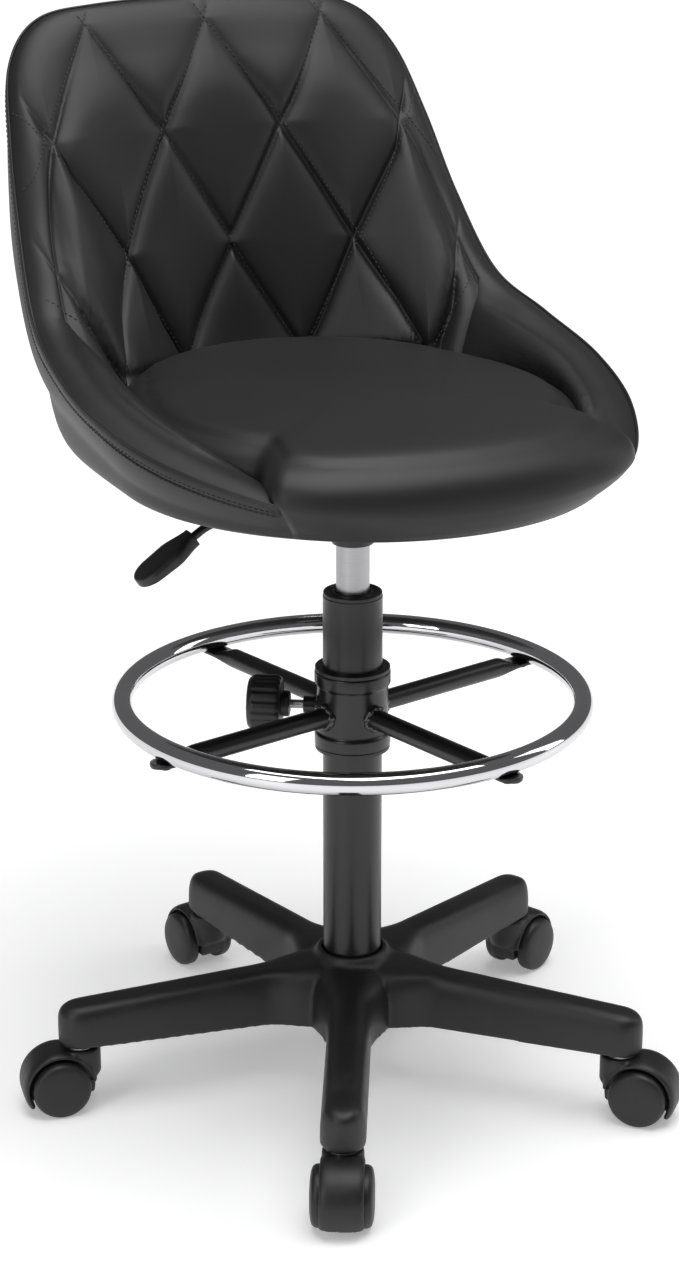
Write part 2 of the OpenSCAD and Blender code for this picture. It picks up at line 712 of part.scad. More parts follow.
module bucket_shell() {
    color("#8a6b45") difference() {
        bowl_layer(cover_t + 0.1, cover_t + shell_t);
        bolt_places(bolt_spacing) translate([0, 0, seat_base - 5]) cylinder(r = tee_hole_r, h = 60);
    }
}

module outer_cover() {
    color(hide) difference() {
        bowl_layer(0, cover_t);
        bolt_places(bolt_spacing) translate([0, 0, seat_base - 5]) cylinder(r = tee_hole_r + 0.4, h = 60);
    }
}

inside_t = cover_t + shell_t + 2;
panel_k = 6;                             // the rim knot where the wing panels meet the back panel
lip_k = 2;                               // the rim knot where the wing panels end at the front
crease_v = 0.62;
cushion_gap = 1.5;

// Thickness of the padding over the shell: full at the crease, rolled down to a seam at the rim.
function padding(v, full) =
    let (s = (v - crease_v) / (1 - crease_v)) full * pow(max(0, 1 - pow(s, 5)), 0.5) + 2;

module pad(k0, k1, steps, full) {
    ks = [for (i = [0:steps]) k0 + (k1 - k0) * i / steps];
    vs = [for (j = [0:9]) crease_v + (1 - crease_v) * j / 9];
    slab([for (k = ks) [for (v = vs) bowl(k, v, inside_t)]],
         [for (k = ks) [for (v = vs) bowl(k, v, inside_t + padding(v, full), lining_shape)]]);
}

module back_pad() {
    color(hide) pad(panel_k + 0.05, 2 * rim_n - panel_k - 0.05, 22, pad_t);
}

module wing_pad_right() {
    color(hide) pad(lip_k + 0.05, panel_k - 0.05, 10, pad_t - 6);
}

module wing_pad_left() {
    color(hide) pad(2 * rim_n - panel_k + 0.05, 2 * rim_n - lip_k - 0.05, 10, pad_t - 6);
}

// The cushion: fills the dish to its top face, and rolls over the front lip between the wings.
module seat_cushion() {
    top = seat_base + cushion_rise;
    keep = inside_t + 0.6;
    bed_gap = 2.2;                       // between the underside and the shell below it
    function edge(k) =
        let (p = bowl(k, crease_v, keep + pad_t + 2 + cushion_gap, lining_shape), f = bowl(k, 0.93, keep),
             side = k <= rim_n ? k : 2 * rim_n - k, w = max(0, min(1, (side - 1.4) / 0.6)))
        w * [p[0], p[1]] + (1 - w) * [f[0], f[1]];
    function ring_at(share, z) = [for (k = around) let (e = edge(k))
        [e[0] * share, pole_y + (e[1] - pole_y) * share, z]];
    function lowest(k, share) =
        let (e = edge(k), d = norm([e[0], e[1] - pole_y]) * share,
             vs = [for (j = [0:40]) j / 40], hits = [for (v = vs) let (p = bowl(k, v, keep))
                 if (norm([p[0], p[1] - pole_y]) >= d) p[2]])
        (len(hits) ? hits[0] : top - 30) + bed_gap;
    function under_at(share) = [for (k = around) let (e = edge(k))
        [e[0] * share, pole_y + (e[1] - pole_y) * share, min(lowest(k, share), top - 14)]];
    color(hide) skin(
        [under_at(0.3), under_at(0.6), under_at(0.8), under_at(0.93), under_at(1),
         ring_at(1, top - 12), ring_at(0.985, top - 7), ring_at(0.94, top - 3), ring_at(0.85, top - 1),
         ring_at(0.5, top)],
        [0, pole_y, seat_base + keep + bed_gap], [0, pole_y, top]);
}

// The narrow band of leather between the two rim seams.
module rim_band() {
    band_gap = 1.1;                      // clear of the cover, whose flat facets differ from the band's
    band_t = 1.6;
    ks = [for (i = [0:56]) 0.6 + (2 * rim_n - 1.2) * i / 56];
    function edge_at(k, out) = [bowl(k, 0.975, -out), bowl(k, 1, -out) + [0, 0, 0.5]];
    color("#151515") slab([for (k = ks) edge_at(k, band_gap)], [for (k = ks) edge_at(k, band_gap + band_t)]);
}

module castor_part(n) {
    castor_hood(n);
    castor_stem(n);
    castor_axle(n);
    castor_wheel(n, -1);
    castor_wheel(n, 1);
}

for (n = [1:5]) castor_part(n);
star_base();
stem_sockets();
stand_tube();
guide_bush();
thrust_bearing();
bump_stop();
rod_clip();
piston_rod();
gas_cylinder();
release_pin();
ring_liners();
footring_collar();
footring_spokes();
footring_ring();
footring_screws();
clamp_nut();
clamp_shoe();
clamp_stud();
clamp_knob();
seat_plate();
socket_cone();
lever_bush();
lever_rod();
lever_paddle();
plate_bolts();
tee_nuts();
bucket_shell();
outer_cover();
seat_cushion();
back_pad();
wing_pad_left();
wing_pad_right();
rim_band();
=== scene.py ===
"""Drafting chair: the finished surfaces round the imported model. Shapes are worked out in millimetres."""
import math

import bpy
import numpy as np
from mathutils import Matrix, Vector
from mathutils.bvhtree import BVHTree
from mathutils.kdtree import KDTree


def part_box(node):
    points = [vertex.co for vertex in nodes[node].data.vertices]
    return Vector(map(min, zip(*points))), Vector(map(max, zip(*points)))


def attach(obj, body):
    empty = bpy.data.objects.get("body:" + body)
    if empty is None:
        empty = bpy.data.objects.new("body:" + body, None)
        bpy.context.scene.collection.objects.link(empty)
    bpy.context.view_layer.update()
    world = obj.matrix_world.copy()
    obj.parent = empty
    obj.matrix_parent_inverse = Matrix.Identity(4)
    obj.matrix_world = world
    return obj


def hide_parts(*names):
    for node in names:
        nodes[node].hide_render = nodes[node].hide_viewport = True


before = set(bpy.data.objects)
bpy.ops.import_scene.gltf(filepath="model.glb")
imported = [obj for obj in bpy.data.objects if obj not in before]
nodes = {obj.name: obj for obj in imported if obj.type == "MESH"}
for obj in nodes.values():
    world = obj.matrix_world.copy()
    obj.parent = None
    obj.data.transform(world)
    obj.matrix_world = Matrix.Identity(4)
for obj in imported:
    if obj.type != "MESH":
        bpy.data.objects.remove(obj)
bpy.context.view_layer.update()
scene = bpy.context.scene

# ---------- the room ----------
# A pale seamless floor under one broad softbox overhead, a tall one at the front left and a weak
# one at the right, with a grey surround, so that black surfaces show their shape by soft sheen.

camera_place = (-0.9368, -1.8904, 1.1317)
camera_pitch = math.radians(19.15)
camera_heading = math.radians(26.063)

ahead = Vector((
    math.sin(camera_heading) * math.cos(camera_pitch),
    math.cos(camera_heading) * math.cos(camera_pitch),
    -math.sin(camera_pitch)))
rightward = Vector((math.cos(camera_heading), -math.sin(camera_heading), 0))
upward = rightward.cross(ahead)
turn = Matrix((rightward, upward, -ahead)).transposed()
lens = bpy.data.cameras.new("camera")
lens.sensor_width = 36
lens.lens = 76.16
lens.shift_y = 0.0037
camera = bpy.data.objects.new("camera", lens)
camera.matrix_world = Matrix.Translation(camera_place) @ turn.to_4x4()
scene.collection.objects.link(camera)
scene.camera = camera
scene.view_settings.view_transform = "Standard"


def softbox(name, place, aim, width, height, watts):
    """A rectangular area light at place, facing aim."""
    light = bpy.data.lights.new(name, "AREA")
    light.shape = "RECTANGLE"
    light.size = width
    light.size_y = height
    light.energy = watts
    lamp = bpy.data.objects.new(name, light)
    facing = Vector(aim) - Vector(place)
    lamp.matrix_world = Matrix.Translation(place) @ facing.to_track_quat("-Z", "Y").to_matrix().to_4x4()
    scene.collection.objects.link(lamp)


softbox("softbox_top", (0.1, -0.3, 3.0), (0, 0, 0.4), 2.6, 2.6, 92)
softbox("softbox_left", (-2.6, -1.2, 1.7), (0, 0, 0.5), 1.0, 2.2, 24)
softbox("softbox_right", (2.6, -0.6, 1.5), (0, 0, 0.5), 0.7, 2.0, 12)

surround = bpy.data.worlds.new("surround")
surround.use_nodes = True
surround.node_tree.nodes["Background"].inputs["Color"].default_value = (0.9, 0.9, 0.92, 1)
surround.node_tree.nodes["Background"].inputs["Strength"].default_value = 0.16
scene.world = surround


class Wire:
    """A shader socket. Arithmetic between wires and numbers adds Math nodes."""

    def __init__(self, tree, socket):
        self.tree = tree
        self.socket = socket

    def node(self, kind, settings, sockets, out=0):
        """Adds a shader node: its settings, then values or links of its sockets. Gives one output."""
        made = self.tree.nodes.new("ShaderNode" + kind)
        for name, value in settings.items():
            setattr(made, name, value)
        for key, value in sockets.items():
            if isinstance(value, Wire):
                self.tree.links.new(value.socket, made.inputs[key])
            else:
                made.inputs[key].default_value = value
        return Wire(self.tree, made.outputs[out])

    def maths(self, operation, *terms):
        """A Math node's result for terms that are wires or numbers."""
        return self.node("Math", {"operation": operation}, dict(enumerate(terms)))

    def __add__(self, other):
        return self.maths("ADD", self, other)

    def __sub__(self, other):
        return self.maths("SUBTRACT", self, other)

    def __rsub__(self, other):
        return self.maths("SUBTRACT", other, self)

    def __mul__(self, other):
        return self.maths("MULTIPLY", self, other)

    def __pow__(self, other):
        return self.maths("POWER", self, other)

    __radd__ = __add__
    __rmul__ = __mul__

    def within(self, low, high):
        """This value's place between low and high, held from 0 to 1."""
        return self.node("MapRange", {"clamp": True}, {"Value": self, "From Min": low, "From Max": high})

    def noise(self, size, detail=3.0, stretch=(1, 1, 1)):
        """Cloudy noise from 0 to 1 whose lumps are about size millimetres across."""
        place = self.node("Mapping", {}, {"Vector": self, "Scale": stretch})
        return self.node("TexNoise", {}, {"Vector": place, "Scale": 1000 / size, "Detail": detail})

    def cells(self, size, feature="F1"):
        """Distance to the nearest of scattered points about size millimetres apart."""
        return self.node("TexVoronoi", {"feature": feature}, {"Vector": self, "Scale": 1000 / size})

    def blend(self, low, high):
        """A colour that runs from low to high as this value goes from 0 to 1."""
        mixed = self.tree.nodes.new("ShaderNodeMix")
        mixed.data_type = "RGBA"
        self.tree.links.new(self.socket, mixed.inputs[0])
        mixed.inputs[6].default_value = (*low, 1)
        mixed.inputs[7].default_value = (*high, 1)
        return Wire(self.tree, mixed.outputs[2])

    def bump(self, depth, strength=1.0):
        """A normal that stands depth millimetres proud where this value is 1."""
        return self.node("Bump", {}, {"Height": self, "Distance": depth / 1000, "Strength": strength})


def material(name, paint, **constants):
    """A material. paint(place) gives the shader's changing sockets; constants are set on the shader."""
    made = bpy.data.materials.new(name)
    made.use_nodes = True
    tree = made.node_tree
    shader = tree.nodes["Principled BSDF"]
    for socket, value in constants.items():
        shader.inputs[socket.replace("_", " ")].default_value = value
    place = tree.nodes.new("ShaderNodeTexCoord")
    for socket, wire in paint(Wire(tree, place.outputs["Object"])).items():
        tree.links.new(wire.socket, shader.inputs[socket])
    return made


def floor_paint(place):
    """White sweep with a faint drift. It glows a little, and more from 0.3 to 4 m out, to stay white."""
    drift = place.noise(900, 2)
    middle = place.node("VectorMath", {"operation": "LENGTH"}, {0: place}, "Value")
    return {
        "Base Color": drift.blend((0.88, 0.88, 0.88), (0.9, 0.9, 0.9)),
        "Emission Color": middle.within(0.3, 4.0).blend((0.30, 0.30, 0.30), (0.92, 0.92, 0.92)),
        "Roughness": 0.42 + 0.1 * drift}


floor_mesh = bpy.data.meshes.new("floor")
floor_mesh.from_pydata([(-30, -30, 0), (30, -30, 0), (30, 30, 0), (-30, 30, 0)], [], [(0, 1, 2, 3)])
floor = bpy.data.objects.new("floor", floor_mesh)
scene.collection.objects.link(floor)
floor_mesh.materials.append(material("pale_floor", floor_paint, Emission_Strength=1.0))


# ---------- star base ----------
# One injection moulding in black glass-filled nylon: five hollow arms, rounded on top and open
# below, that run into a hub with a short flare round the foot of the tube.

def span(node):
    """Lowest and highest corner of a CAD node, in millimetres."""
    low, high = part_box(node)
    return np.array(low) * 1000, np.array(high) * 1000


def nylon_paint(place):
    """Moulded nylon: a fine spark grain, and duller, paler scuffs where the cloudy noise is high."""
    spark = place.noise(0.55, 2)
    scuff = place.noise(34, 4).within(0.52, 0.74)
    return {
        "Base Color": scuff.blend((0.0065, 0.0065, 0.007), (0.012, 0.012, 0.0125)),
        "Roughness": 0.43 + 0.1 * scuff + 0.05 * spark,
        "Normal": spark.bump(0.035, 0.8)}


nylon = material("nylon", nylon_paint, Specular_IOR_Level=0.5)


def loft(rings, closed=False):
    """Points and faces of a skin over a stack of rings, shape (rings, points, 3). The last point of a
    ring joins its first; the end rings close to a pole at their centre, or join each other if closed."""
    rows, columns = rings.shape[:2]
    points = rings.reshape(-1, 3)
    here = np.arange(rows * columns).reshape(rows, columns)
    if closed:
        here = np.vstack([here, here[:1]])
    beside = np.roll(here, -1, axis=1)
    quads = np.stack([here[:-1], beside[:-1], beside[1:], here[1:]], axis=-1).reshape(-1, 4)
    faces = quads.tolist()
    if not closed:
        poles = rings[[0, -1]].mean(axis=1)
        points = np.vstack([points, poles])
        first, last = rows * columns, rows * columns + 1
        faces += np.stack([beside[0], here[0], np.full(columns, first)], axis=-1).tolist()
        faces += np.stack([here[-1], beside[-1], np.full(columns, last)], axis=-1).tolist()
    return points, faces


def joined(*parts):
    """Several (points, faces) as one."""
    points, faces, count = [], [], 0
    for more, sides in parts:
        points.append(more)
        faces += [[corner + count for corner in side] for side in sides]
        count += len(more)
    return np.vstack(points), faces


def facing_out(points, faces):
    """The same faces, turned round if the volume they enclose comes out negative."""
    corners = np.array([side[:3] for side in faces])
    a, b, c = (points[corners[:, i]] for i in range(3))
    volume = np.einsum("ij,ij->i", a - points.mean(axis=0), np.cross(b - a, c - a)).sum()
    return faces if volume > 0 else [side[::-1] for side in faces]


def piece(name, parts, finish, body, stands_for=()):
    """A mesh object made of closed (points, faces) parts in millimetres, riding on a CAD body."""
    points, faces = joined(*[(p, facing_out(p, f)) for p, f in parts])
    mesh = bpy.data.meshes.new(name)
    mesh.from_pydata((points / 1000).tolist(), [], faces)
    mesh.polygons.foreach_set("use_smooth", np.ones(len(mesh.polygons), bool))
    mesh.materials.append(finish)
    mesh.update()
    made = bpy.data.objects.new(name, mesh)
    scene.collection.objects.link(made)
    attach(made, body)
    if stands_for:
        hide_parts(*stands_for)
    return made


def turned(points, degrees):
    """Points turned about the Z axis."""
    c, s = math.cos(math.radians(degrees)), math.sin(math.radians(degrees))
    return points @ np.array([[c, s, 0], [-s, c, 0], [0, 0, 1]])


def fused(obj, cell, rounds):
    """Melts overlapping parts of a moulding into one skin of cells that size, and eases its corners."""
    melt = obj.modifiers.new("melt", "REMESH")
    melt.mode = "VOXEL"
    melt.voxel_size = cell / 1000
    melt.use_smooth_shade = True
    ease = obj.modifiers.new("ease", "SMOOTH")
    ease.factor = 0.5
    ease.iterations = rounds


def revolved(profile, steps=96):
    """A profile of (radius, height) points carried round the Z axis, as rings of a loft along it."""
    angle = np.linspace(0, 2 * np.pi, steps, endpoint=False)
    radius, height = np.array(profile, float).T
    return np.stack([
        radius[:, None] * np.cos(angle), radius[:, None] * np.sin(angle),
        np.repeat(height[:, None], steps, axis=1)], axis=-1)


def rounded(corners, radius, steps=5):
    """An outline whose inner corners are replaced by arcs: each is a quadratic curve that leaves and
    meets its two sides at that distance from the corner."""
    points = np.array(corners, float)
    out = [points[:1]]
    t = np.linspace(0, 1, steps)[:, None]
    for before, corner, after in zip(points[:-2], points[1:-1], points[2:]):
        reach = [min(radius, 0.45 * np.linalg.norm(p - corner)) for p in (before, after)]
        a = corner + (before - corner) / np.linalg.norm(before - corner) * reach[0]
        b = corner + (after - corner) / np.linalg.norm(after - corner) * reach[1]
        out.append((1 - t) ** 2 * a + 2 * t * (1 - t) * corner + t ** 2 * b)
    return np.vstack([*out, points[-1:]])


def smoothstep(x, low, high):
    """0 up to low, 1 from high, and 3t^2 - 2t^3 of the share t of the way between them."""
    t = np.clip((x - low) / (high - low), 0, 1)
    return t * t * (3 - 2 * t)


def squared(wave, power):
    """sign(wave) |wave|^power: below 1, the power squares up a section drawn with sines."""
    return np.sign(wave) * np.abs(wave) ** power


base_low, base_high = span("star_base")
stem_low, stem_high = span("castor_1_stem")
stem_centre = (stem_low + stem_high) / 2
base_radius = float(np.hypot(stem_centre[0], stem_centre[1]))
base_heading = math.degrees(math.atan2(stem_centre[1], stem_centre[0]))
arms = 5
arm_turn = 360 / arms
arm_bottom = base_low[2] + 2
arm_start = 28
arm_half = 18.5
arm_flare = 15
arm_wall = 4
arm_roof = 7
arm_tip_h = 35
arm_root_h = 50
hub_top = base_high[2]
hub_radius = 42
hub_bore = 25.6
foot_bore = 21.5


def star_arm():
    """One arm as a stack of sections along its length. A section is a rounded arch,
    y = half |cos a|^p, z = height |sin a|^p, out along its outer face and back along its inner one.
    The half width flares into the hub, and past the castor's axis it closes as a half circle."""
    run = np.linspace(arm_start, base_radius, 60)
    sweep = np.linspace(0, np.pi / 2, 12)[1:-1]
    along = np.concatenate([run, base_radius + arm_half * np.sin(sweep)])
    end = np.concatenate([np.ones_like(run), np.cos(sweep)])
    half = (arm_half + arm_flare * (1 - smoothstep(along, 38, 84))) * end
    fall = (along - hub_radius) / (base_radius + arm_half - hub_radius)
    height = (arm_root_h + (arm_tip_h - arm_root_h) * fall) * (0.62 + 0.38 * end ** 0.6)
    hollow_from = smoothstep(along, 52, 66)
    hollow_to = 1 - smoothstep(along, base_radius - 26, base_radius - 16)
    depth = (height - arm_roof) * hollow_from * hollow_to
    angle = np.linspace(np.pi, 0, 41)
    across = squared(np.cos(angle), 0.5)
    rise = np.abs(np.sin(angle)) ** 0.55
    inner_half = np.maximum(half - arm_wall, 0.3 * half)
    y = np.hstack([half[:, None] * across, inner_half[:, None] * across[::-1]])
    z = np.hstack([height[:, None] * rise, depth[:, None] * rise])
    x = np.repeat(along[:, None], y.shape[1], axis=1)
    return np.stack([x, y, arm_bottom + z], axis=-1)


hub_profile = rounded([
    (hub_bore, hub_top), (hub_bore, arm_bottom + 6), (foot_bore, arm_bottom + 5), (foot_bore, base_low[2]),
    (hub_radius - 1, base_low[2]), (hub_radius, arm_bottom + 32), (hub_radius - 4, arm_bottom + 46),
    (31, hub_top - 3), (30, hub_top)], 6)
hub = loft(revolved(hub_profile), closed=True)
arm_rings = star_arm()
spread = [loft(turned(arm_rings, base_heading + arm_turn * n)) for n in range(arms)]
star = piece("star_base_moulding", [hub, *spread], nylon, "base", ["star_base"])
fused(star, 2.0, 7)


# ---------- castors ----------
# Twin-wheel castors: a black nylon hood curls over the back of two domed nylon wheels on one
# steel axle, and a zinc-plated stem with a flange snaps into the socket in the arm.

wheel_radius = 25
wheel_inner = 13
hood_outer = 32
hood_inner = wheel_radius + 1.4
hood_half = 18
web_half = 12.4
web_radius = 30
web_bottom = wheel_radius - 9
trail = 20
boss_radius = 17
boss_bottom = 30


def zinc_paint(place):
    """Zinc plating: a cloud of lighter and rougher crystals over a very fine grain."""
    cloud = place.noise(7, 4)
    return {
        "Base Color": cloud.blend((0.46, 0.46, 0.45), (0.66, 0.66, 0.67)),
        "Roughness": 0.24 + 0.16 * cloud,
        "Normal": place.noise(0.8, 2).bump(0.01)}


zinc = material("zinc_steel", zinc_paint, Metallic=1.0)


def hood_fender():
    """A strip carried round the axle, from beside the stem over the top to the low skirt. Its section is
    a squared ellipse, crowned by 1.6 (across / hood_half)^4."""
    angle = np.radians(np.linspace(-84, 122, 64))
    t = np.linspace(0, 2 * np.pi, 28, endpoint=False)
    middle = (hood_outer + hood_inner) / 2
    thick = (hood_outer - hood_inner) / 2
    across = hood_half * squared(np.cos(t), 0.35)
    out = thick * squared(np.sin(t), 0.5)
    crown = -1.6 * (across / hood_half) ** 4 * (out > 0)
    radius = (middle + out + crown)[None, :] + 0 * angle[:, None]
    x = trail + radius * np.sin(angle)[:, None]
    z = wheel_radius + radius * np.cos(angle)[:, None]
    return np.stack([x, np.broadcast_to(across, x.shape), z], axis=-1)


def hood_web():
    """The wall between the wheels: a disc cut level at its foot, drawn across at seven widths, the
    outer two a little smaller."""
    angle = np.radians(np.linspace(-115, 115, 48))
    outline = np.stack([
        trail + web_radius * np.sin(angle), wheel_radius + web_radius * np.cos(angle)], axis=-1)
    outline[:, 1] = np.maximum(outline[:, 1], web_bottom)
    share = np.array([-1, -0.98, -0.5, 0, 0.5, 0.98, 1])
    centre = np.array([trail, wheel_radius + 6])
    size = np.array([0.97, 1, 1, 1, 1, 1, 0.97])
    drawn = centre + (outline - centre) * size[:, None, None]
    y = np.broadcast_to((web_half * share)[:, None], drawn.shape[:2])
    return np.stack([drawn[..., 0], y, drawn[..., 1]], axis=-1)


def wheel_profile():
    """Half section of a wheel from its inner face to its domed outer face, as (radius, width)."""
    return rounded([
        (0.01, 0.6), (6.5, 0.6), (7, 9), (20.5, 8.5), (21, 0), (24.4, 0), (25, 1), (25, 7.6),
        (23.2, 10.6), (19, 12), (12, 12.8), (0.01, 13)], 2.6, 6)


hood_top = wheel_radius + hood_outer
boss = revolved(rounded([
    (0.01, boss_bottom), (boss_radius, boss_bottom), (boss_radius, hood_top), (0.01, hood_top)], 3.5))
hood_parts = [hood_fender(), hood_web(), boss]
disc = revolved(wheel_profile(), 64)
shift = np.array([base_radius, 0, 0])
for n in range(1, arms + 1):
    heading = base_heading + arm_turn * (n - 1)
    hood = piece(
        f"castor_{n}_hood_moulding",
        [loft(turned(rings + shift, heading)) for rings in hood_parts],
        nylon, f"castor_{n}", [f"castor_{n}_hood"])
    fused(hood, 1.2, 3)
    for side, letter in ((-1, "a"), (1, "b")):
        across = side * (wheel_inner + disc[..., 2])
        wheel = np.stack([trail + disc[..., 0], across, wheel_radius + disc[..., 1]], axis=-1)
        piece(f"castor_{n}_wheel_{letter}_moulding", [loft(turned(wheel + shift, heading))],
              nylon, f"castor_{n}_wheel_{letter}", [f"castor_{n}_wheel_{letter}"])


# ---------- column and gas lift ----------
# A welded steel tube, powder-coated satin black, stands in the hub. A black plastic bush in its
# top guides the satin-chromed gas cylinder, whose rod stands on a ball bearing at the foot.

def powder_paint(place):
    """Powder coat: orange peel 1.6 mm across, and duller, paler where hands and shoes wear it."""
    peel = place.noise(1.6, 2)
    worn = place.noise(28, 5).within(0.6, 0.78)
    return {
        "Base Color": worn.blend((0.0045, 0.0045, 0.005), (0.009, 0.009, 0.0095)),
        "Roughness": 0.29 + 0.12 * worn + 0.04 * peel,
        "Normal": peel.bump(0.05, 0.7)}


def satin_paint(place):
    """Satin chrome turned in a lathe: noise drawn out round the axis into fine level lines."""
    turned_lines = place.noise(1.1, 3, (0.08, 0.08, 3.0))
    return {
        "Base Color": turned_lines.blend((0.30, 0.30, 0.31), (0.42, 0.42, 0.43)),
        "Roughness": 0.24 + 0.12 * turned_lines,
        "Normal": turned_lines.bump(0.006)}


def bush_paint(place):
    """Moulded acetal, with an even half-millimetre grain in colour, roughness and height."""
    grain = place.noise(0.5, 2)
    return {
        "Base Color": grain.blend((0.008, 0.008, 0.008), (0.014, 0.014, 0.014)),
        "Roughness": 0.4 + 0.1 * grain,
        "Normal": grain.bump(0.02)}


def rubber_paint(place):
    """Moulded rubber: dull, with a millimetre grain in colour, roughness and height."""
    grain = place.noise(0.9, 3)
    return {
        "Base Color": grain.blend((0.014, 0.014, 0.014), (0.026, 0.026, 0.026)),
        "Roughness": 0.75 + 0.12 * grain,
        "Normal": grain.bump(0.04)}


def brass_paint(place):
    """Turned brass, a little darker and rougher in clouds where it is handled."""
    cloud = place.noise(3, 3)
    return {
        "Base Color": cloud.blend((0.52, 0.36, 0.11), (0.66, 0.48, 0.17)),
        "Roughness": 0.26 + 0.14 * cloud,
        "Normal": cloud.bump(0.004)}


powder = material("powder_coat", powder_paint, Specular_IOR_Level=0.5)
satin = material("satin_steel", satin_paint, Metallic=1.0)
bush_plastic = material("bush_plastic", bush_paint)
rubber = material("bump_rubber", rubber_paint)
brass = material("pin_brass", brass_paint, Metallic=1.0)


def carried_over(finish, *names):
    """Gives CAD nodes whose own shape is shown their material."""
    for name in names:
        mesh = nodes[name].data
        mesh.materials.clear()
        mesh.materials.append(finish)


carried_over(powder, "stand_tube")
carried_over(satin, "gas_cylinder", "piston_rod")
carried_over(zinc, "thrust_bearing", "rod_clip", "stem_sockets")
carried_over(zinc, *[f"castor_{n}_{part}" for n in range(1, arms + 1) for part in ("stem", "axle")])
carried_over(rubber, "bump_stop")
carried_over(brass, "release_pin")

tube_top = span("stand_tube")[1][2]
bush_top = span("guide_bush")[1][2]
bush_foot = tube_top - 60
bush_bore = 14.3
bush_body = 23.3
bush_flange = 24.6
bush_rings = revolved(rounded([
    (bush_bore, bush_foot), (bush_body, bush_foot), (bush_body, tube_top), (bush_flange, tube_top + 0.1),
    (bush_flange, bush_top - 0.6), (23.8, bush_top), (21.6, bush_top), (21.2, bush_top - 1.6),
    (18.0, bush_top - 1.6), (17.6, bush_top), (15.2, bush_top), (bush_bore, bush_top - 1.2)], 0.7))
piece("guide_bush_moulding", [loft(bush_rings, closed=True)], bush_plastic, "base", ["guide_bush"])


# ---------- foot ring ----------
# A bent and butt-welded steel tube, mirror-chromed, is screwed to the flattened ends of four
# powder-coated spokes, which are welded to a collar that slides on the column on plastic liners.

def chrome_paint(place):
    """Mirror chrome under a thin film of handling, 60 mm across, with a faint swell."""
    film = place.noise(60, 3)
    return {
        "Base Color": film.blend((0.56, 0.56, 0.57), (0.66, 0.66, 0.67)),
        "Roughness": 0.035 + 0.035 * film,
        "Normal": film.bump(0.05, 0.2)}


chrome = material("chrome", chrome_paint, Metallic=1.0)
ring_low, ring_high = span("footring_ring")
ring_tube = (ring_high[2] - ring_low[2]) / 2
ring_height = (ring_high[2] + ring_low[2]) / 2
ring_radius = ring_high[0] - ring_tube
collar_low, collar_high = span("footring_collar")
spoke_radius = 8.5
spoke_start = 28
spokes = 4
tab_top = ring_height - ring_tube - 0.1
tab_bottom = ring_height - ring_tube - 4
spoke_z = (tab_top + tab_bottom) / 2
spoke_heading = 13


def foot_ring():
    """A circle of radius ring_tube carried round a circle of radius ring_radius."""
    tube_angle = np.linspace(0, 2 * np.pi, 40, endpoint=False)
    profile = np.stack([ring_radius + ring_tube * np.cos(tube_angle),
                        ring_height + ring_tube * np.sin(tube_angle)], axis=-1)
    return revolved(profile, 256)


def spoke():
    """A round tube from the collar whose section flattens, between 30 and 10 mm short of the ring's
    middle line, into a tab 22 mm wide, and closes as a half circle 2 mm past that line."""
    tab_half = 11
    tab_centre = ring_radius + 2
    straight = np.linspace(spoke_start, ring_radius - 30, 30)
    run = np.concatenate([straight, np.linspace(ring_radius - 29, tab_centre, 24)])
    sweep = np.linspace(0, np.pi / 2, 12)[1:-1]
    along = np.concatenate([run, tab_centre + tab_half * np.sin(sweep)])
    end = np.concatenate([np.ones_like(run), np.cos(sweep)])
    flat = smoothstep(along, ring_radius - 30, ring_radius - 10)
    half = (spoke_radius + (tab_half - spoke_radius) * flat) * end
    thick = spoke_radius + (0.5 * (tab_top - tab_bottom) - spoke_radius) * flat
    power = (1 - 0.55 * flat)[:, None]
    angle = np.linspace(0, 2 * np.pi, 32, endpoint=False)
    y = half[:, None] * squared(np.cos(angle), power)
    z = thick[:, None] * squared(np.sin(angle), power)
    x = np.repeat(along[:, None], len(angle), axis=1)
    return np.stack([x, y, spoke_z + z], axis=-1)


def weld_bead():
    """A lumpy fillet round a spoke's root, on the collar's curve: a ring whose thickness ripples by two
    sines round it, as laid by hand."""
    around = np.linspace(0, 2 * np.pi, 56, endpoint=False)[:, None]
    section = np.linspace(0, 2 * np.pi, 12, endpoint=False)[None, :]
    thick = 2.3 + 0.5 * np.sin(9 * around) + 0.35 * np.sin(5 * around + 1)
    radius = spoke_radius + 0.6 + thick * np.cos(section)
    foot = np.sqrt(np.maximum(collar_high[0] ** 2 - (radius * np.cos(around)) ** 2, 1)) - 2.2
    x = foot + 1.3 * thick * (0.4 + np.sin(section))
    return np.stack([x, radius * np.cos(around), spoke_z + radius * np.sin(around)], axis=-1)


def on_spokes(rings, closed=False):
    """A part of one spoke, lofted at each of the spokes."""
    return [loft(turned(rings, spoke_heading + 360 / spokes * n), closed) for n in range(spokes)]


piece("foot_ring_chromed", [loft(foot_ring(), closed=True)], chrome, "footring", ["footring_ring"])
piece("foot_ring_spokes", on_spokes(spoke()), powder, "footring", ["footring_spokes"])


def weld_paint(place):
    """Paint run over a weld: glossy lumps about 2 mm across."""
    lumps = place.noise(2.2, 3)
    return {
        "Base Color": lumps.blend((0.01, 0.01, 0.011), (0.024, 0.024, 0.025)),
        "Roughness": 0.16 + 0.12 * lumps,
        "Normal": lumps.bump(0.35, 0.8)}


weld = material("painted_weld", weld_paint, Coat_Weight=0.3)
piece("foot_ring_welds", on_spokes(weld_bead(), closed=True), weld, "footring")

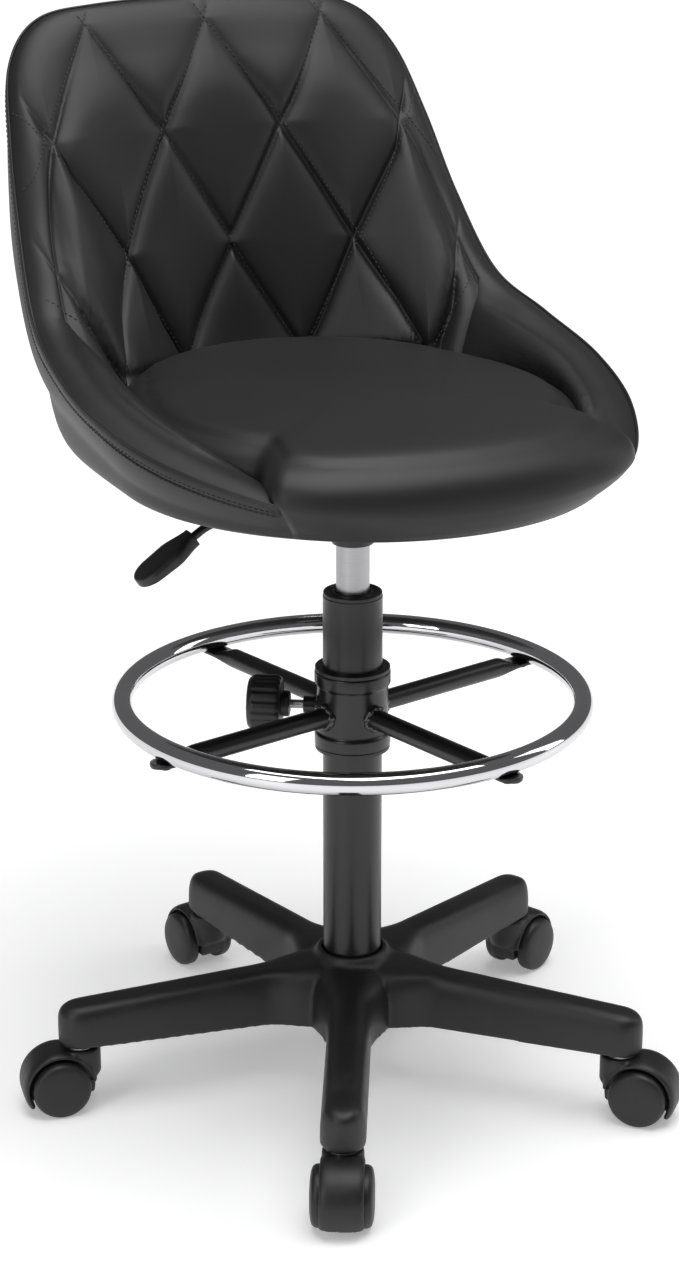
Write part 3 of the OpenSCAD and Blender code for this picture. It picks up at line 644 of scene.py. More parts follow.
collar_r = collar_high[0]
collar_bore = 27.2
collar_rings = revolved(rounded([
    (collar_bore, collar_low[2] + 4), (collar_bore, collar_low[2] + 0.2), (collar_r, collar_low[2] + 0.2),
    (collar_r, collar_low[2] + 11), (collar_r - 2, collar_low[2] + 13), (collar_r - 2, collar_high[2] - 13),
    (collar_r, collar_high[2] - 11), (collar_r, collar_high[2] - 0.2), (collar_bore, collar_high[2] - 0.2),
    (collar_bore, collar_high[2] - 4)], 1.6))
piece("foot_ring_collar", [loft(collar_rings, closed=True)], powder, "footring",
      ["footring_collar"])
carried_over(bush_plastic, "ring_liners")
carried_over(powder, "footring_screws")


# ---------- clamp screw ----------
# A zinc-plated stud, M8, runs through a nut welded to the collar and presses a plastic shoe on the
# column. Its knob is moulded in black nylon, with shallow flutes for the fingers and a dished face.

knob_low, knob_high = span("clamp_knob")
knob_centre = (knob_low + knob_high) / 2
clamp_heading = math.degrees(math.atan2(knob_centre[1], knob_centre[0]))
clamp_z = knob_centre[2]
knob_radius = (knob_high[2] - knob_low[2]) / 2
knob_start = 60
knob_width = 28
stud_start = 27.6
stud_end = 72
stud_radius = 3.95
thread_pitch = 1.25
thread_depth = 0.55
flutes = 16
flute_depth = 1.5


def on_clamp(rings):
    """Rings drawn round the Z axis, laid along the clamp screw's axis with Z away from the column."""
    laid = np.stack([rings[..., 2], -rings[..., 1], clamp_z + rings[..., 0]], axis=-1)
    return turned(laid, clamp_heading)


def knob():
    """A revolved grip whose radius dips at its flutes by flute_depth * cos^6 of half as many turns of the
    angle, fading out towards the middle and the face."""
    profile = rounded([
        (0.01, -7), (10.4, -7), (11, -6), (11, -0.8), (13, 0), (knob_radius - 2.4, 0), (knob_radius, 2.4),
        (knob_radius, knob_width - 5), (knob_radius - 3.5, knob_width), (knob_radius - 8, knob_width),
        (knob_radius - 10, knob_width - 1.2), (0.01, knob_width - 1.6)], 2.2, 5)
    rings = revolved(profile, 192)
    angle = np.linspace(0, 2 * np.pi, 192, endpoint=False)
    grip = smoothstep(profile[:, 0], knob_radius - 6, knob_radius - 1)[:, None]
    low_end = (1 - smoothstep(profile[:, 1], knob_width - 7, knob_width - 3))[:, None]
    dip = 1 - flute_depth / knob_radius * grip * low_end * np.cos(flutes / 2 * angle)[None, :] ** 6
    rings[..., :2] *= dip[..., None]
    rings[..., 2] += knob_start
    return on_clamp(rings)


def threaded_stud():
    """A rod whose radius follows a triangle wave of the height and the angle, a right-hand thread."""
    height = np.arange(stud_start, stud_end, thread_pitch / 6)
    angle = np.linspace(0, 2 * np.pi, 28, endpoint=False)
    phase = (height[:, None] / thread_pitch - angle[None, :] / (2 * np.pi)) % 1
    radius = stud_radius - 2 * thread_depth * np.abs(phase - 0.5)
    z = np.repeat(height[:, None], len(angle), axis=1)
    return on_clamp(np.stack([radius * np.cos(angle), radius * np.sin(angle), z], axis=-1))


piece("clamp_knob_moulding", [loft(knob())], nylon, "knob", ["clamp_knob"])
piece("clamp_stud_threaded", [loft(threaded_stud())], zinc, "knob", ["clamp_stud"])
carried_over(powder, "clamp_nut")
carried_over(bush_plastic, "clamp_shoe")


# ---------- seat mechanism ----------
# A pressed plate carries a tapered socket for the cylinder. The height lever is a bent steel rod,
# rocking in a nylon pivot over the release pin, with a flat moulded paddle pushed on its end.

lever_radius = 3.5
lever_z = span("lever_rod")[1][2] - lever_radius - 0.2
lever_start = 2.9
droop = math.radians(33)
bend_reach = 14
paddle_start = 20
paddle_len = 58
bend_x = span("lever_paddle")[0][0] + (paddle_start + paddle_len) * math.cos(droop)
rod_end = 33
pivot_x = -34
pivot_radius = 2.5
pivot_half = 20


def tube_along(line, radius, sides):
    """A round tube along a line of points, its section square to the line."""
    ahead = np.gradient(line, axis=0)
    ahead /= np.linalg.norm(ahead, axis=1)[:, None]
    side = np.cross(ahead, [0, 0, 1.0])
    side /= np.linalg.norm(side, axis=1)[:, None]
    up = np.cross(side, ahead)
    angle = np.linspace(0, 2 * np.pi, sides, endpoint=False)[None, :, None]
    return line[:, None] + radius * (np.cos(angle) * side[:, None] + np.sin(angle) * up[:, None])


def lever_rod():
    """A round tube along a line that runs out level and then falls, through a quadratic bend."""
    bend = np.array([bend_x, 0, lever_z])
    level = bend + np.array([bend_reach, 0, 0])
    falling = np.array([-math.cos(droop), 0, -math.sin(droop)])
    t = np.linspace(0, 1, 14)[:, None]
    arc = (1 - t) ** 2 * level + 2 * t * (1 - t) * bend + t ** 2 * (bend + bend_reach * falling)
    line = np.vstack([[lever_start, 0, lever_z], [-60, 0, lever_z], arc, bend + rod_end * falling])
    return tube_along(line, lever_radius, 24)


def cross_pin():
    """The lever's pivot, a short rod across it."""
    line = np.linspace([pivot_x, -pivot_half, lever_z], [pivot_x, pivot_half, lever_z], 4)
    return tube_along(line, pivot_radius, 20)


def paddle():
    """Rounded-rectangle sections along the drooping rod: a narrow neck that widens to a flat blade
    and closes as a half circle."""
    blade_half = 16
    run = np.linspace(0, paddle_len - blade_half, 26)
    sweep = np.linspace(0, np.pi / 2, 14)[1:]
    along = np.concatenate([run, paddle_len - blade_half + blade_half * np.sin(sweep)])
    round_end = np.concatenate([np.ones_like(run), np.cos(sweep)])
    half = (8 + (blade_half - 8) * smoothstep(along, 0, 24)) * np.maximum(round_end, 0.02)
    thick = (6.6 - 1.4 * smoothstep(along, 16, paddle_len)) * (0.35 + 0.65 * round_end ** 0.4)
    angle = np.linspace(0, 2 * np.pi, 36, endpoint=False)
    across = half[:, None] * squared(np.cos(angle), 0.45)
    out = thick[:, None] * squared(np.sin(angle), 0.6)
    down = (paddle_start + along)[:, None]
    x = bend_x - down * math.cos(droop) + out * math.sin(droop)
    z = lever_z - down * math.sin(droop) - out * math.cos(droop)
    return np.stack([x, across, z], axis=-1)


piece("lever_rod_bent", [loft(lever_rod()), loft(cross_pin())], powder, "lever", ["lever_rod"])
piece("lever_paddle_moulding", [loft(paddle())], nylon, "lever", ["lever_paddle"])
carried_over(powder, "seat_plate", "socket_cone")
carried_over(zinc, "plate_bolts", "tee_nuts")


def pivot_paint(place):
    """Unfilled nylon, cream white, with an even fine grain."""
    grain = place.noise(0.7, 2)
    return {
        "Base Color": grain.blend((0.60, 0.57, 0.50), (0.70, 0.67, 0.60)),
        "Roughness": 0.45 + 0.1 * grain,
        "Normal": grain.bump(0.02)}


carried_over(material("pivot_nylon", pivot_paint), "lever_bush")


# ---------- bucket ----------
# A shell of moulded beech plywood, covered outside in black polyurethane leather that is glued
# down, with the seam of the front panel running on under the lip.

def ply_paint(place):
    """Beech veneer: noise drawn out twelve times along Y as its grain."""
    grain = place.noise(2.4, 4, (1, 0.08, 1))
    return {
        "Base Color": grain.blend((0.30, 0.19, 0.10), (0.45, 0.31, 0.18)),
        "Roughness": 0.55 + 0.15 * grain,
        "Normal": grain.bump(0.05)}


def leather_paint(place):
    """Coated leather: pores as cells 0.9 mm apart, creases between them, and a slow drift of colour."""
    pores = place.cells(0.9)
    creases = place.noise(3.4, 5)
    drift = place.noise(120, 2)
    height = 0.7 * pores + 0.3 * creases
    return {
        "Base Color": drift.blend((0.0058, 0.0056, 0.0054), (0.0088, 0.0083, 0.0078)),
        "Roughness": 0.44 + 0.06 * drift + 0.05 * pores,
        "Normal": height.bump(0.055, 0.55)}


leather = material("leather", leather_paint, Specular_IOR_Level=0.38, Sheen_Weight=0.02, Sheen_Roughness=0.4)

seat_base = span("outer_cover")[0][2]
half_width = 230
pole_y = -10
rim_low = 40
rim_climb = 323

# The right half of the rim, from the front centre to the top: x as a share of half_width, y, and the
# height over the foot of the cover.
rim_knots = np.array([
    [0, -226, 40], [0.37, -216, 42], [0.66, -184, 50], [0.9, -93, 67], [1, 0, 87], [0.99, 85, 108],
    [0.943, 155, 133], [0.896, 210, 194], [0.852, 252, 260], [0.79, 288, 316], [0.65, 308, 350],
    [0.41, 314, 360], [0, 318, 363]], float) * [half_width, 1, 1] + [0, 0, seat_base]
top_k = len(rim_knots) - 1
mirror = np.array([-1, 1, 1])
rim_path = np.vstack([rim_knots[1] * mirror, rim_knots, rim_knots[-2] * mirror])

# The forms of the shell and of the lining. First the belly: half its width, its reach behind and
# before the pole, and its power behind. Then the turn-up, as share of the belly and height. Then the
# wall, as share, height and height gained where the rim is at its top, and the share gained there.
# Last the swell of the upper wall, and how much more there is at the back corners.
shell_shape = ((214, 295, 210, 3.6), (0.89, 14), (0.972, 71, 53), 0.06, 2, 17)
lining_shape = ((226, 285, 210, 2), (0.8, 9), (0.93, 44, 16), 0.03, 0, 0)


def through(a, b, c, d, t):
    """Catmull-Rom curve from b at t = 0 to c at t = 1, with a before and d after."""
    return 0.5 * (2 * b + (c - a) * t + (2 * a - 5 * b + 4 * c - d) * t ** 2
                  + (3 * b - a - 3 * c + d) * t ** 3)


def rim(k):
    """The rim at k, from 0 at the front centre by the right to top_k at the top, and back by the left."""
    side = np.where(k <= top_k, k, 2 * top_k - k)
    i = np.clip(np.floor(side).astype(int), 0, top_k - 1)
    point = through(*[rim_path[i + step] for step in range(4)], (side - i)[..., None])
    return np.where((k <= top_k)[..., None], point, point * mirror)


def belly(ux, uy, form):
    """Distance from the pole to the bowl's belly: a superellipse behind the pole, an ellipse before."""
    power = np.where(uy > 0, form[3], 2.0)
    reach = np.where(uy > 0, form[1], form[2])
    return (np.abs(ux / form[0]) ** power + np.abs(uy / reach) ** power) ** (-1 / power)


def bowl(k, v, inset, shape=shell_shape):
    """A point of the bucket: k round the rim and v from 0 at the pole to 1 at the rim. Each section is
    a Catmull-Rom curve through the pole, the floor, the turn-up, the wall and the rim."""
    form, turn_up, wall_form, spread_at_top, swell_all, swell_corner = shape
    k, v, t = np.broadcast_arrays(*(np.asarray(a, float) for a in (k, v, inset)))
    r = rim(k)
    dx, dy = r[..., 0], r[..., 1] - pole_y
    d = np.hypot(dx, dy)
    reach = belly(dx / d, dy / d, form)
    rise = r[..., 2] - seat_base
    h = np.clip((rise - rim_low) / rim_climb, 0, 1)
    wall_z = seat_base + np.minimum(wall_form[1] + wall_form[2] * h, 0.5 * rise)
    wall = np.stack([(wall_form[0] + spread_at_top * h) * reach, wall_z], axis=-1)
    swell = swell_all + swell_corner * h * 2 * np.abs(dx * dy) / d ** 2
    upper = np.stack([(wall[..., 0] + d) / 2 + swell, (wall[..., 1] + r[..., 2]) / 2], axis=-1)
    floor_z = seat_base + t
    knots = [
        np.stack([0 * d, floor_z], axis=-1),
        np.stack([0.45 * reach, floor_z], axis=-1),
        np.stack([turn_up[0] * reach - 0.5 * t, seat_base + turn_up[1] + 0.87 * t], axis=-1),
        wall + t[..., None] * [-0.94, 0.33],
        upper + t[..., None] * [-1, 0.1],
        np.stack([d - t, r[..., 2]], axis=-1)]
    row = np.stack([knots[1] * [-1, 1], *knots, 2 * knots[5] - knots[4]])
    w = v * 5
    i = np.clip(np.floor(w).astype(int), 0, 4)
    a, b, c, e = (np.take_along_axis(row, (i + step)[None, ..., None], axis=0)[0] for step in range(4))
    p = through(a, b, c, e, (w - i)[..., None])
    x, y = dx / d * p[..., 0], pole_y + dy / d * p[..., 0]
    return np.stack([x, y, np.maximum(p[..., 1], floor_z)], axis=-1)


def from_front(k):
    """How far k is round from the front centre, 0 to top_k."""
    return np.where(k <= top_k, k, 2 * top_k - k)


def wall_length(k):
    """Length of a section per unit of v near the rim, in millimetres."""
    return np.linalg.norm(bowl(k, 1, 0) - bowl(k, 0.94, 0), axis=-1) / 0.06


# Where the rim band ends at the front lip and where the wings meet the back, in knots of the rim.
lip_k = 2
panel_k = 6
band_width = 10
seam_width = 1.6
cover_t = 3.9
ply_outer = 4.2
ply_inner = 11.8
ply_top = 0.982


def cover_dent(k, v):
    """Depth of the seams of the outer cover: one groove under the rim band, and one down from each
    end of the band towards the floor, both as exp(-(distance / width)^2)."""
    under_band = (1 - v) * wall_length(k) - band_width
    sideways = (from_front(k) - lip_k) * 62 * v
    seamed = smoothstep(from_front(k), lip_k - 0.05, lip_k + 0.05)
    front_seam = np.exp(-(sideways / seam_width) ** 2) * smoothstep(v, 0.55, 0.7)
    return 1.3 * np.maximum(seamed * np.exp(-(under_band / seam_width) ** 2), front_seam)


around = np.linspace(0, 2 * top_k, 480, endpoint=False)[None, :]
rows = np.concatenate([np.linspace(0.06, 0.76, 40), np.linspace(0.77, 1, 90)])[:, None]
outside = bowl(around, rows, cover_dent(around, rows))
inside = bowl(around, rows[::-6], cover_t)
piece("outer_cover_sewn", [loft(np.concatenate([outside, inside]))], leather, "seat",
      ["outer_cover"])

ply_rows = np.concatenate([np.linspace(0.06, 0.76, 16), np.linspace(0.8, ply_top, 8)])[:, None]
ply_around = around[:, ::3]
ply_rings = np.concatenate([
    bowl(ply_around, ply_rows, ply_outer), bowl(ply_around, ply_rows[::-1], ply_inner)])
piece("bucket_shell_moulded", [loft(ply_rings)], material("moulded_ply", ply_paint), "seat",
      ["bucket_shell"])


# ---------- pads ----------
# Sewn leather panels over moulded foam line the bucket: a quilted back, two side wings and a
# crowned cushion. Each is filled out as cloth under pressure, held at its seams, and the back is then
# pulled in where the quilting stitches run.

# How far the lining's back lies inside the cover, where the pads meet the cushion, as a share of
# the way up to the rim, and how far the wings and the back run past each other, in rim knots.
lining_back = 14
crease_v = 0.62
seam_lap = 0.09
glued_in = 1.6
filling_pressure = 4.0
filling_frames = 20


def evaluated(obj):
    """Replaces an object's mesh by the mesh that its modifiers give, and drops the modifiers."""
    made = bpy.data.meshes.new_from_object(obj.evaluated_get(bpy.context.evaluated_depsgraph_get()))
    obj.modifiers.clear()
    obj.data = made


def triples(items, field):
    """The three numbers that each item has under a field's name, as rows."""
    flat = np.empty(len(items) * 3, np.float32)
    items.foreach_get(field, flat)
    return flat.reshape(-1, 3).astype(float)


def places(mesh):
    """Where a mesh's points are, in metres."""
    return triples(mesh.vertices, "co")


def facings(mesh):
    """The normals at a mesh's points."""
    return triples(mesh.vertex_normals, "vector")


def put(mesh, points):
    """Moves a mesh's points to new places, in metres."""
    mesh.vertices.foreach_set("co", points.astype(np.float32).ravel())
    mesh.update()


def swelling(obj, cell):
    """How far each point of a sewn cover moves when it is filled. A copy of it in even cells is blown up
    as cloth without gravity, and a point takes the mean move of the 24 corners of cells nearest it."""
    bag = bpy.data.objects.new("filling", obj.data.copy())
    scene.collection.objects.link(bag)
    melt = bag.modifiers.new("cells", "REMESH")
    melt.mode = "VOXEL"
    melt.voxel_size = cell / 1000
    evaluated(bag)
    rest = places(bag.data)
    cloth = bag.modifiers.new("filling", "CLOTH")
    cloth.settings.use_pressure = True
    cloth.settings.uniform_pressure_force = filling_pressure
    cloth.settings.effector_weights.gravity = 0
    cloth.point_cache.frame_start = 1
    cloth.point_cache.frame_end = filling_frames
    for step in range(1, filling_frames + 1):
        scene.frame_set(step)
    swollen = bag.evaluated_get(bpy.context.evaluated_depsgraph_get())
    shift = places(swollen.to_mesh()) - rest
    scene.frame_set(1)
    tree = KDTree(len(rest))
    for i, point in enumerate(rest):
        tree.insert(point, i)
    tree.balance()
    nearest = [[i for _, i, _ in tree.find_n(point, 24)] for point in places(obj.data)]
    bpy.data.objects.remove(bag)
    return shift[np.array(nearest)].mean(axis=1)


def inflated(obj, cell, cap, slack):
    """Fills a sewn cover: each point moves out along its normal by slack * cap * tanh(move / cap), where
    slack is 0 at sewn or glued leather and 1 in mid panel."""
    start, normal = places(obj.data), facings(obj.data)
    limit = cap / 1000
    out = np.maximum(np.einsum("ij,ij->i", swelling(obj, cell), normal), 0)
    at_poles = [slack[0].mean(), slack[-1].mean()]
    held = limit * np.tanh(out / limit) * np.append(slack.ravel(), at_poles)
    put(obj.data, start + normal * held[:, None])


def subdivided(obj):
    """Splits each face in four by Catmull and Clark's rule, which rounds what it splits."""
    finer = obj.modifiers.new("finer", "SUBSURF")
    finer.levels = 1
    finer.render_levels = 1
    evaluated(obj)
    obj.data.polygons.foreach_set("use_smooth", np.ones(len(obj.data.polygons), bool))


def pad(k0, k1, columns, full, puff):
    """Foam as a loft of closed loops from one end to the other: up its back, over the shell's edge, and
    down its face. The face's inset is glued_in + (lining_back + full) * sqrt(1 - s^5) for s from 0 at the
    crease to 1 at the rim, drawn in at both ends where it is sewn. It lifts over the shell's edge, and is
    puffed up by puff * sin(pi s^0.7)^0.7. full and puff are pairs of lists: rim knots from the front, and
    millimetres there. Gives the rings and the slack of their points."""
    k = np.linspace(k0, k1, columns)[:, None]
    s = np.concatenate([np.linspace(-0.16, 0.88, 62), np.linspace(0.89, 1, 28)])[None, :]
    to_end = np.minimum(k - k0, k1 - k) * 60
    foam = np.interp(from_front(k), *full) * (1 - 0.3 * np.exp(-(to_end / 9) ** 1.2))
    inset = glued_in + (lining_back + foam) * np.sqrt(np.maximum(0, 1 - s ** 5))
    face = bowl(k, crease_v + (1 - crease_v) * s, inset, lining_shape)
    over_edge = 4 * np.sin(np.pi * np.clip((inset - glued_in) / 30, 0, 1)) * smoothstep(s, 0.7, 0.9)
    crest = np.interp(from_front(k), *puff) * np.sin(np.pi * np.clip(s, 0, 1) ** 0.7) ** 0.7
    face[..., 2] += over_edge + crest
    rise = np.linspace(-0.16, 1, 14)[None, :]
    behind = lining_back - (lining_back - 0.9) * smoothstep(rise, 0.78, 0.9)
    back = bowl(k, crease_v + (1 - crease_v) * rise, behind)
    loose = (1 - smoothstep(s, 0.72, 0.92)) * (1 - np.exp(-(to_end / 22) ** 2))
    slack = np.concatenate([0 * back[..., 0], loose[:, ::-1]], axis=1)
    return np.concatenate([back, face[:, ::-1]], axis=1), slack


back_foam = ([panel_k, top_k], [28, 28])
back_puff = ([panel_k, top_k], [0, 0])
back_rings, back_slack = pad(panel_k - seam_lap, 2 * top_k - panel_k + seam_lap, 220, back_foam, back_puff)
back = piece("back_pad_quilted", [loft(back_rings)], leather, "seat", ["back_pad"])
inflated(back, 6, 5, back_slack)
subdivided(back)

# The back is quilted in diamonds 111 mm wide and 200 mm high, in the leather's own flat measure. Its
# face has a place and a bow at each height, its rows of corners have their heights, and the stitches
# end at an edge.
quilt_half_width = 55.5
quilt_half_height = 100
profile_z = np.array([540, 600, 692, 788, 878, 900])
profile_y = np.array([216, 218, 221, 238, 293, 300])
profile_bow = np.array([0.0046, 0.0043, 0.00245, 0.00062, 0.00049, 0.00049])
quilt_row_z = np.array([494, 593, 692.5, 790, 878.6, 975])
quilt_row = np.array([-2, -1, 0, 1, 2, 3])
quilt_edge_z = np.array([600, 680, 724, 790, 846, 880, 893])
quilt_edge_x = np.array([156, 212, 208, 197, 183, 148, 116])


def bowed_length(x, bow):
    """Arc length of the parabola y = bow x^2 from its middle out to x: with slope 2 bow x it is half of
    x sqrt(1 + slope^2) + arsinh(slope) / (2 bow)."""
    slope = 2 * bow * x
    return 0.5 * (x * np.sqrt(1 + slope ** 2) + np.arcsinh(slope) / (2 * bow))


def quilt_place(points):
    """Leather coordinates of points on the back, in half diamonds: across, as the arc length of the
    parabola y = -bow x^2 at that height, and up. What lies behind the front face, where the leather
    rolls over the top, counts upwards; at the sides it counts outwards."""
    x, y, z = points.T
    bow = np.interp(z, profile_z, profile_bow)
    arc = bowed_length(np.abs(x), bow)
    behind = np.maximum(0, y - (np.interp(z, profile_z, profile_y) - bow * x ** 2) - 6)
    top = smoothstep(z, 850, 885)
    across = np.sign(x) * (arc + (1 - top) * 0.4 * behind) / quilt_half_width
    up = np.interp(z, quilt_row_z, quilt_row) + top * behind / quilt_half_height
    return across, up


def from_stitches(across, up):
    """Distance in millimetres to the nearest stitched line: both diagonals at every even sum."""
    slope = math.hypot(1 / quilt_half_width, 1 / quilt_half_height)
    one = np.abs((across + up + 1) % 2 - 1) / slope
    other = np.abs((across - up + 1) % 2 - 1) / slope
    return np.minimum(one, other)


# The stitches pull in the leather that faces the sitter, and less near the top and the sides. The
# groove is a soft valley with a nick at the thread, and mid panel stands 2 mm proud.
seat_middle = np.array([0, pole_y - 20, seat_base + 190])
points = places(back.data)
facing = facings(back.data)
across, up = quilt_place(points * 1000)
gap = from_stitches(across, up)
near_top = smoothstep(points[:, 2] * 1000, 800, 885)
near_side = smoothstep(np.abs(points[:, 0] * 1000), 150, 205)
deep = 1 - 0.72 * np.maximum(near_top, near_side)
lined = np.clip(1.5 * np.einsum("ij,ij->i", facing, (seat_middle / 1000 - points) / 0.35), 0, 1)
groove = 7.5 * np.exp(-gap / 7.5) + 2.2 * np.exp(-(gap / 2.0) ** 2) - 2.0 * (1 - np.exp(-gap / 22))
pull = deep * lined * groove
put(back.data, points - facing * pull[:, None] / 1000)

wing_foam = ([2, 2.6, 3.4, 6], [12, 18, 22, 26])
wing_puff = ([2, 2.4, 3, 4, 5, 6], [1, 11, 17, 15, 8, 0])
for name, k0, k1 in (
        ("right", lip_k, panel_k + seam_lap),
        ("left", 2 * top_k - panel_k - seam_lap, 2 * top_k - lip_k)):
    wing_rings, wing_slack = pad(k0, k1, 120, wing_foam, wing_puff)
    wing = piece(f"wing_pad_{name}_sewn", [loft(wing_rings)],
                 leather, "seat", [f"wing_pad_{name}"])
    inflated(wing, 6, 6, wing_slack)
    subdivided(wing)

cushion_top = span("seat_cushion")[1][2]
crown_rise = 4


def cushion():
    """Closed loops from the underside round the lip and over a rounded shoulder to a crowned top. The
    outline is the rim between the wings, where the leather wraps the nose down onto the cover, and is
    tucked in under the pads elsewhere. The shoulder is a superellipse in height and outline, and the
    crown a parabola. Gives the rings and their slack."""
    k = np.linspace(0, 2 * top_k, 320, endpoint=False)
    side = from_front(k)
    tucked = smoothstep(side, lip_k, lip_k + 0.45)[:, None]
    edge = tucked * bowl(k, crease_v, 30, lining_shape)[:, :2] + (1 - tucked) * bowl(k, 1, -1.5)[:, :2]
    foot = tucked[:, 0] * (cushion_top - 32) + (1 - tucked[:, 0]) * (rim(k)[:, 2] + 1)
    pole = np.array([0, pole_y])
    under_edge = 0.88
    crown_edge = 0.74
    bed = seat_base + lining_back + 1.5

    def ring(share, height):
        return np.column_stack([pole + (edge - pole) * share, height + 0 * k])

    under = [ring(share, bed + (foot - bed) * share ** 3) for share in (0.2, 0.5, 0.75, under_edge)]
    hidden = smoothstep(side, lip_k - 0.04, lip_k + 0.04)[:, None]
    wrap = []
    for u in np.linspace(0, 1, 22)[:-1]:
        inner = ring(under_edge + (1 - under_edge) * u, bed + (foot - bed) * (0.68 + 0.32 * u))
        outer = bowl(k, 0.36 + 0.64 * u, 0.9 - 2.4 * smoothstep(u, 0, 0.3))
        wrap.append(hidden * inner + (1 - hidden) * outer)
    shoulder = [
        ring(crown_edge + (1 - crown_edge) * math.cos(a) ** 0.8,
             foot + (cushion_top - foot) * math.sin(a) ** 0.85)
        for a in np.linspace(0, np.pi / 2, 22)]
    top = [ring(share, cushion_top + crown_rise * (1 - (share / crown_edge) ** 2))
           for share in np.linspace(0.7, 0.04, 26)]
    loose = [0.0] * len(under + wrap) + list(np.linspace(0, 1, len(shoulder))) + [1.0] * len(top)
    return np.array([*under, *wrap, *shoulder, *top]), np.repeat(np.array(loose)[:, None], len(k), axis=1)


seat_rings, seat_slack = cushion()
seat = piece("seat_cushion_sewn", [loft(seat_rings)], leather, "seat", ["seat_cushion"])
inflated(seat, 7, 4, seat_slack)


# ---------- rim ----------
# A strip of the same leather, folded over the edge of the shell, joins the lining to the cover. Its
# two seams are topstitched in black thread, as are the quilting and the wings' joints.

def thread_paint(place):
    """Spun thread: a half-millimetre grain in colour, roughness and height."""
    twist = place.noise(0.5, 2)
    return {
        "Base Color": twist.blend((0.010, 0.010, 0.010), (0.022, 0.022, 0.022)),
        "Roughness": 0.5 + 0.15 * twist,
        "Normal": twist.bump(0.05)}


thread = material("thread", thread_paint, Sheen_Weight=0.1)


def rim_strip():
    """A crowned strip along the rim, band_width wide: its outer face stands proud by
    1.9 sin(pi s)^0.6 - 0.5 for s across it, which dives under the seams at both edges."""
    k = np.linspace(lip_k, 2 * top_k - lip_k, 420)[:, None]
    s = np.linspace(0, 1, 12)[None, :]
    v = 1 - s * (band_width + 0.5) / wall_length(k)
    ends = smoothstep(from_front(k), lip_k, lip_k + 0.14)
    proud = 1.9 * ends * np.sin(np.pi * s) ** 0.6 - 0.5
    outer = bowl(k, v, -proud) + np.stack([0 * v, 0 * v, 0.8 * (1 - s) + 0 * v], axis=-1)
    inner = bowl(k, v[:, ::-1], 1.2 + 0 * v)
    return np.concatenate([outer, inner], axis=1)


piece("rim_band_sewn", [loft(rim_strip())], leather, "seat", ["rim_band"])
welt_radius = 1.3
welt_k = np.linspace(lip_k - 0.02, 2 * top_k - lip_k + 0.02, 420)
welt_line = bowl(welt_k, 1, 1.0) + [0, 0, 0.6]
piece("rim_welt", [loft(tube_along(welt_line, welt_radius, 8))], leather, "seat")

stitch_pitch = 4.6
stitch_half = 1.7
thread_radius = 0.42


def stitches(name, lines):
    """Rows of short threads along lines of (points, normals). Each thread is a lens of six sides and
    four rings, laid on the leather with its ends pulled in."""
    along = np.array([-1, -0.6, 0.6, 1]) * stitch_half
    size = np.array([0.25, 1, 1, 0.25]) * thread_radius
    sink = np.array([-0.35, 0.1, 0.1, -0.35])
    angle = np.linspace(0, 2 * np.pi, 6, endpoint=False)
    parts = []
    for line, normals in lines:
        length = np.concatenate([[0], np.cumsum(np.linalg.norm(np.diff(line, axis=0), axis=1))])
        at = np.arange(stitch_pitch / 2, length[-1], stitch_pitch)
        place = np.stack([np.interp(at, length, line[:, i]) for i in range(3)], axis=-1)
        up = np.stack([np.interp(at, length, normals[:, i]) for i in range(3)], axis=-1)
        ahead = np.stack([np.interp(at, length, np.gradient(line[:, i])) for i in range(3)], axis=-1)
        ahead /= np.linalg.norm(ahead, axis=1)[:, None]
        side = np.cross(ahead, up)
        side /= np.linalg.norm(side, axis=1)[:, None]
        up = np.cross(side, ahead)
        thread_points = (
            place[:, None, None]
            + along[None, :, None, None] * ahead[:, None, None]
            + (size[:, None] * np.cos(angle))[None, ..., None] * side[:, None, None]
            + (sink[:, None] + size[:, None] * np.sin(angle))[None, ..., None] * up[:, None, None])
        parts += [loft(rings) for rings in thread_points]
    return piece(name, parts, thread, "seat")


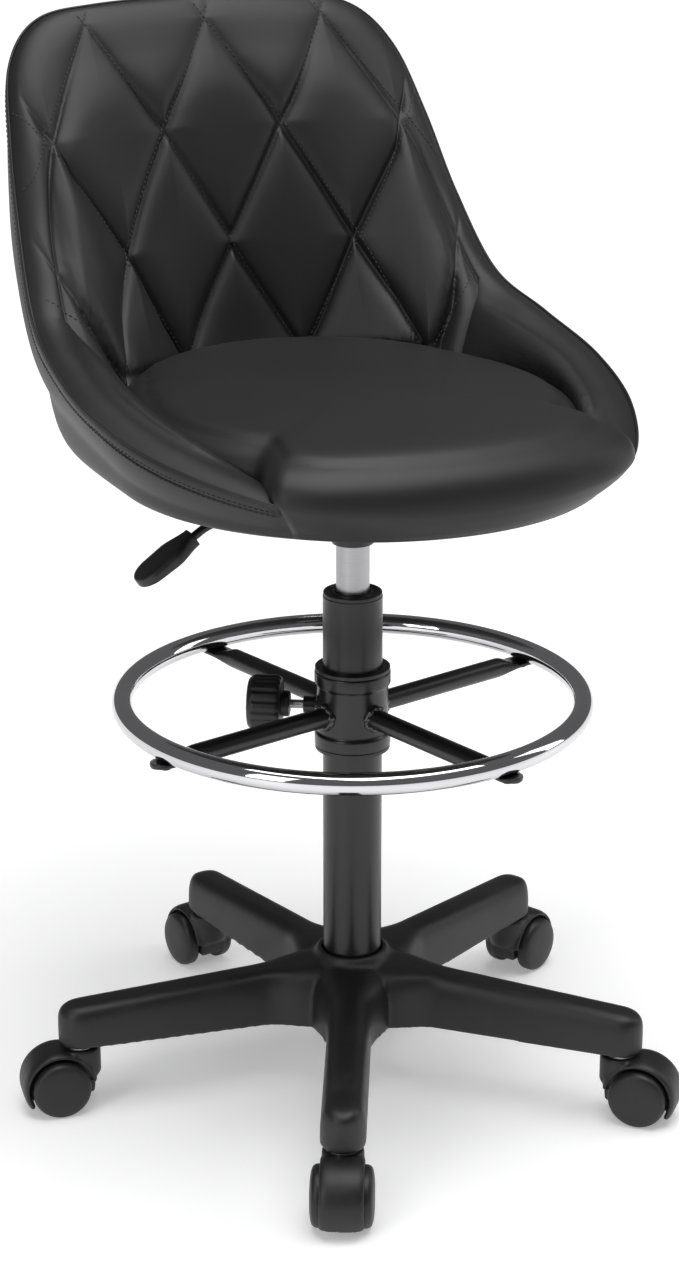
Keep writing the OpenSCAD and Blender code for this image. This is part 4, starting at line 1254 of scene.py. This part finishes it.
def on_surface(obj, sources, targets, lift):
    """Points where rays from sources to targets meet a piece, raised along its normal, and the
    normals; a ray that misses is left out."""
    tree = BVHTree.FromObject(obj, bpy.context.evaluated_depsgraph_get())
    found = [tree.ray_cast(Vector(s / 1000), Vector(t - s).normalized()) for s, t in zip(sources, targets)]
    kept = [(np.array(hit[0]) * 1000, np.array(hit[1])) for hit in found if hit[0] is not None]
    place, normal = (np.array([pair[i] for pair in kept]) for i in (0, 1))
    return place + lift * normal, normal


def quilt_lines():
    """The stitched diagonals, found again on the finished back: each is followed by height, its x
    solved from the leather measure by bisection, and dropped onto the surface."""
    z = np.linspace(600, 889, 90)
    up = np.interp(z, quilt_row_z, quilt_row)
    bow = np.interp(z, profile_z, profile_bow)
    for lean in (1, -1):
        for start in range(-8, 9, 2):
            wanted = (start - lean * up) * quilt_half_width
            low, high = np.zeros_like(z), np.full_like(z, 260.0)
            for _ in range(30):
                x = (low + high) / 2
                short = bowed_length(x, bow) < np.abs(wanted)
                low, high = np.where(short, x, low), np.where(short, high, x)
            x = np.sign(wanted) * (low + high) / 2
            y = np.interp(z, profile_z, profile_y) - bow * x ** 2
            inside_edge = np.abs(x) < np.interp(z, quilt_edge_z, quilt_edge_x)
            if inside_edge.sum() > 6:
                target = np.stack([x, y, z], axis=-1)[inside_edge]
                source = target * [0.35, 0, 1] + [0, -60, 0]
                line, normal = on_surface(back, source, target, 0.25)
                steps = np.linalg.norm(np.diff(line, axis=0), axis=1)
                if len(line) > 6 and steps.max() < 40:
                    yield line, normal


bpy.context.view_layer.update()
stitches("quilting_thread", list(quilt_lines()))


def cover_line(k, v, lift):
    """A line on the outer cover and its outward normals."""
    line = bowl(k, v, -lift)
    return line, line - bowl(k, v, 6 - lift)


seam_k = np.linspace(lip_k + 0.03, 2 * top_k - lip_k - 0.03, 500)
lower = 1 - (band_width + 2.6) / wall_length(seam_k)
upper = 1 - (band_width - 2.2) / wall_length(seam_k)
stitches("rim_thread", [cover_line(seam_k, lower, 0.1), cover_line(seam_k, upper, 1.3)])
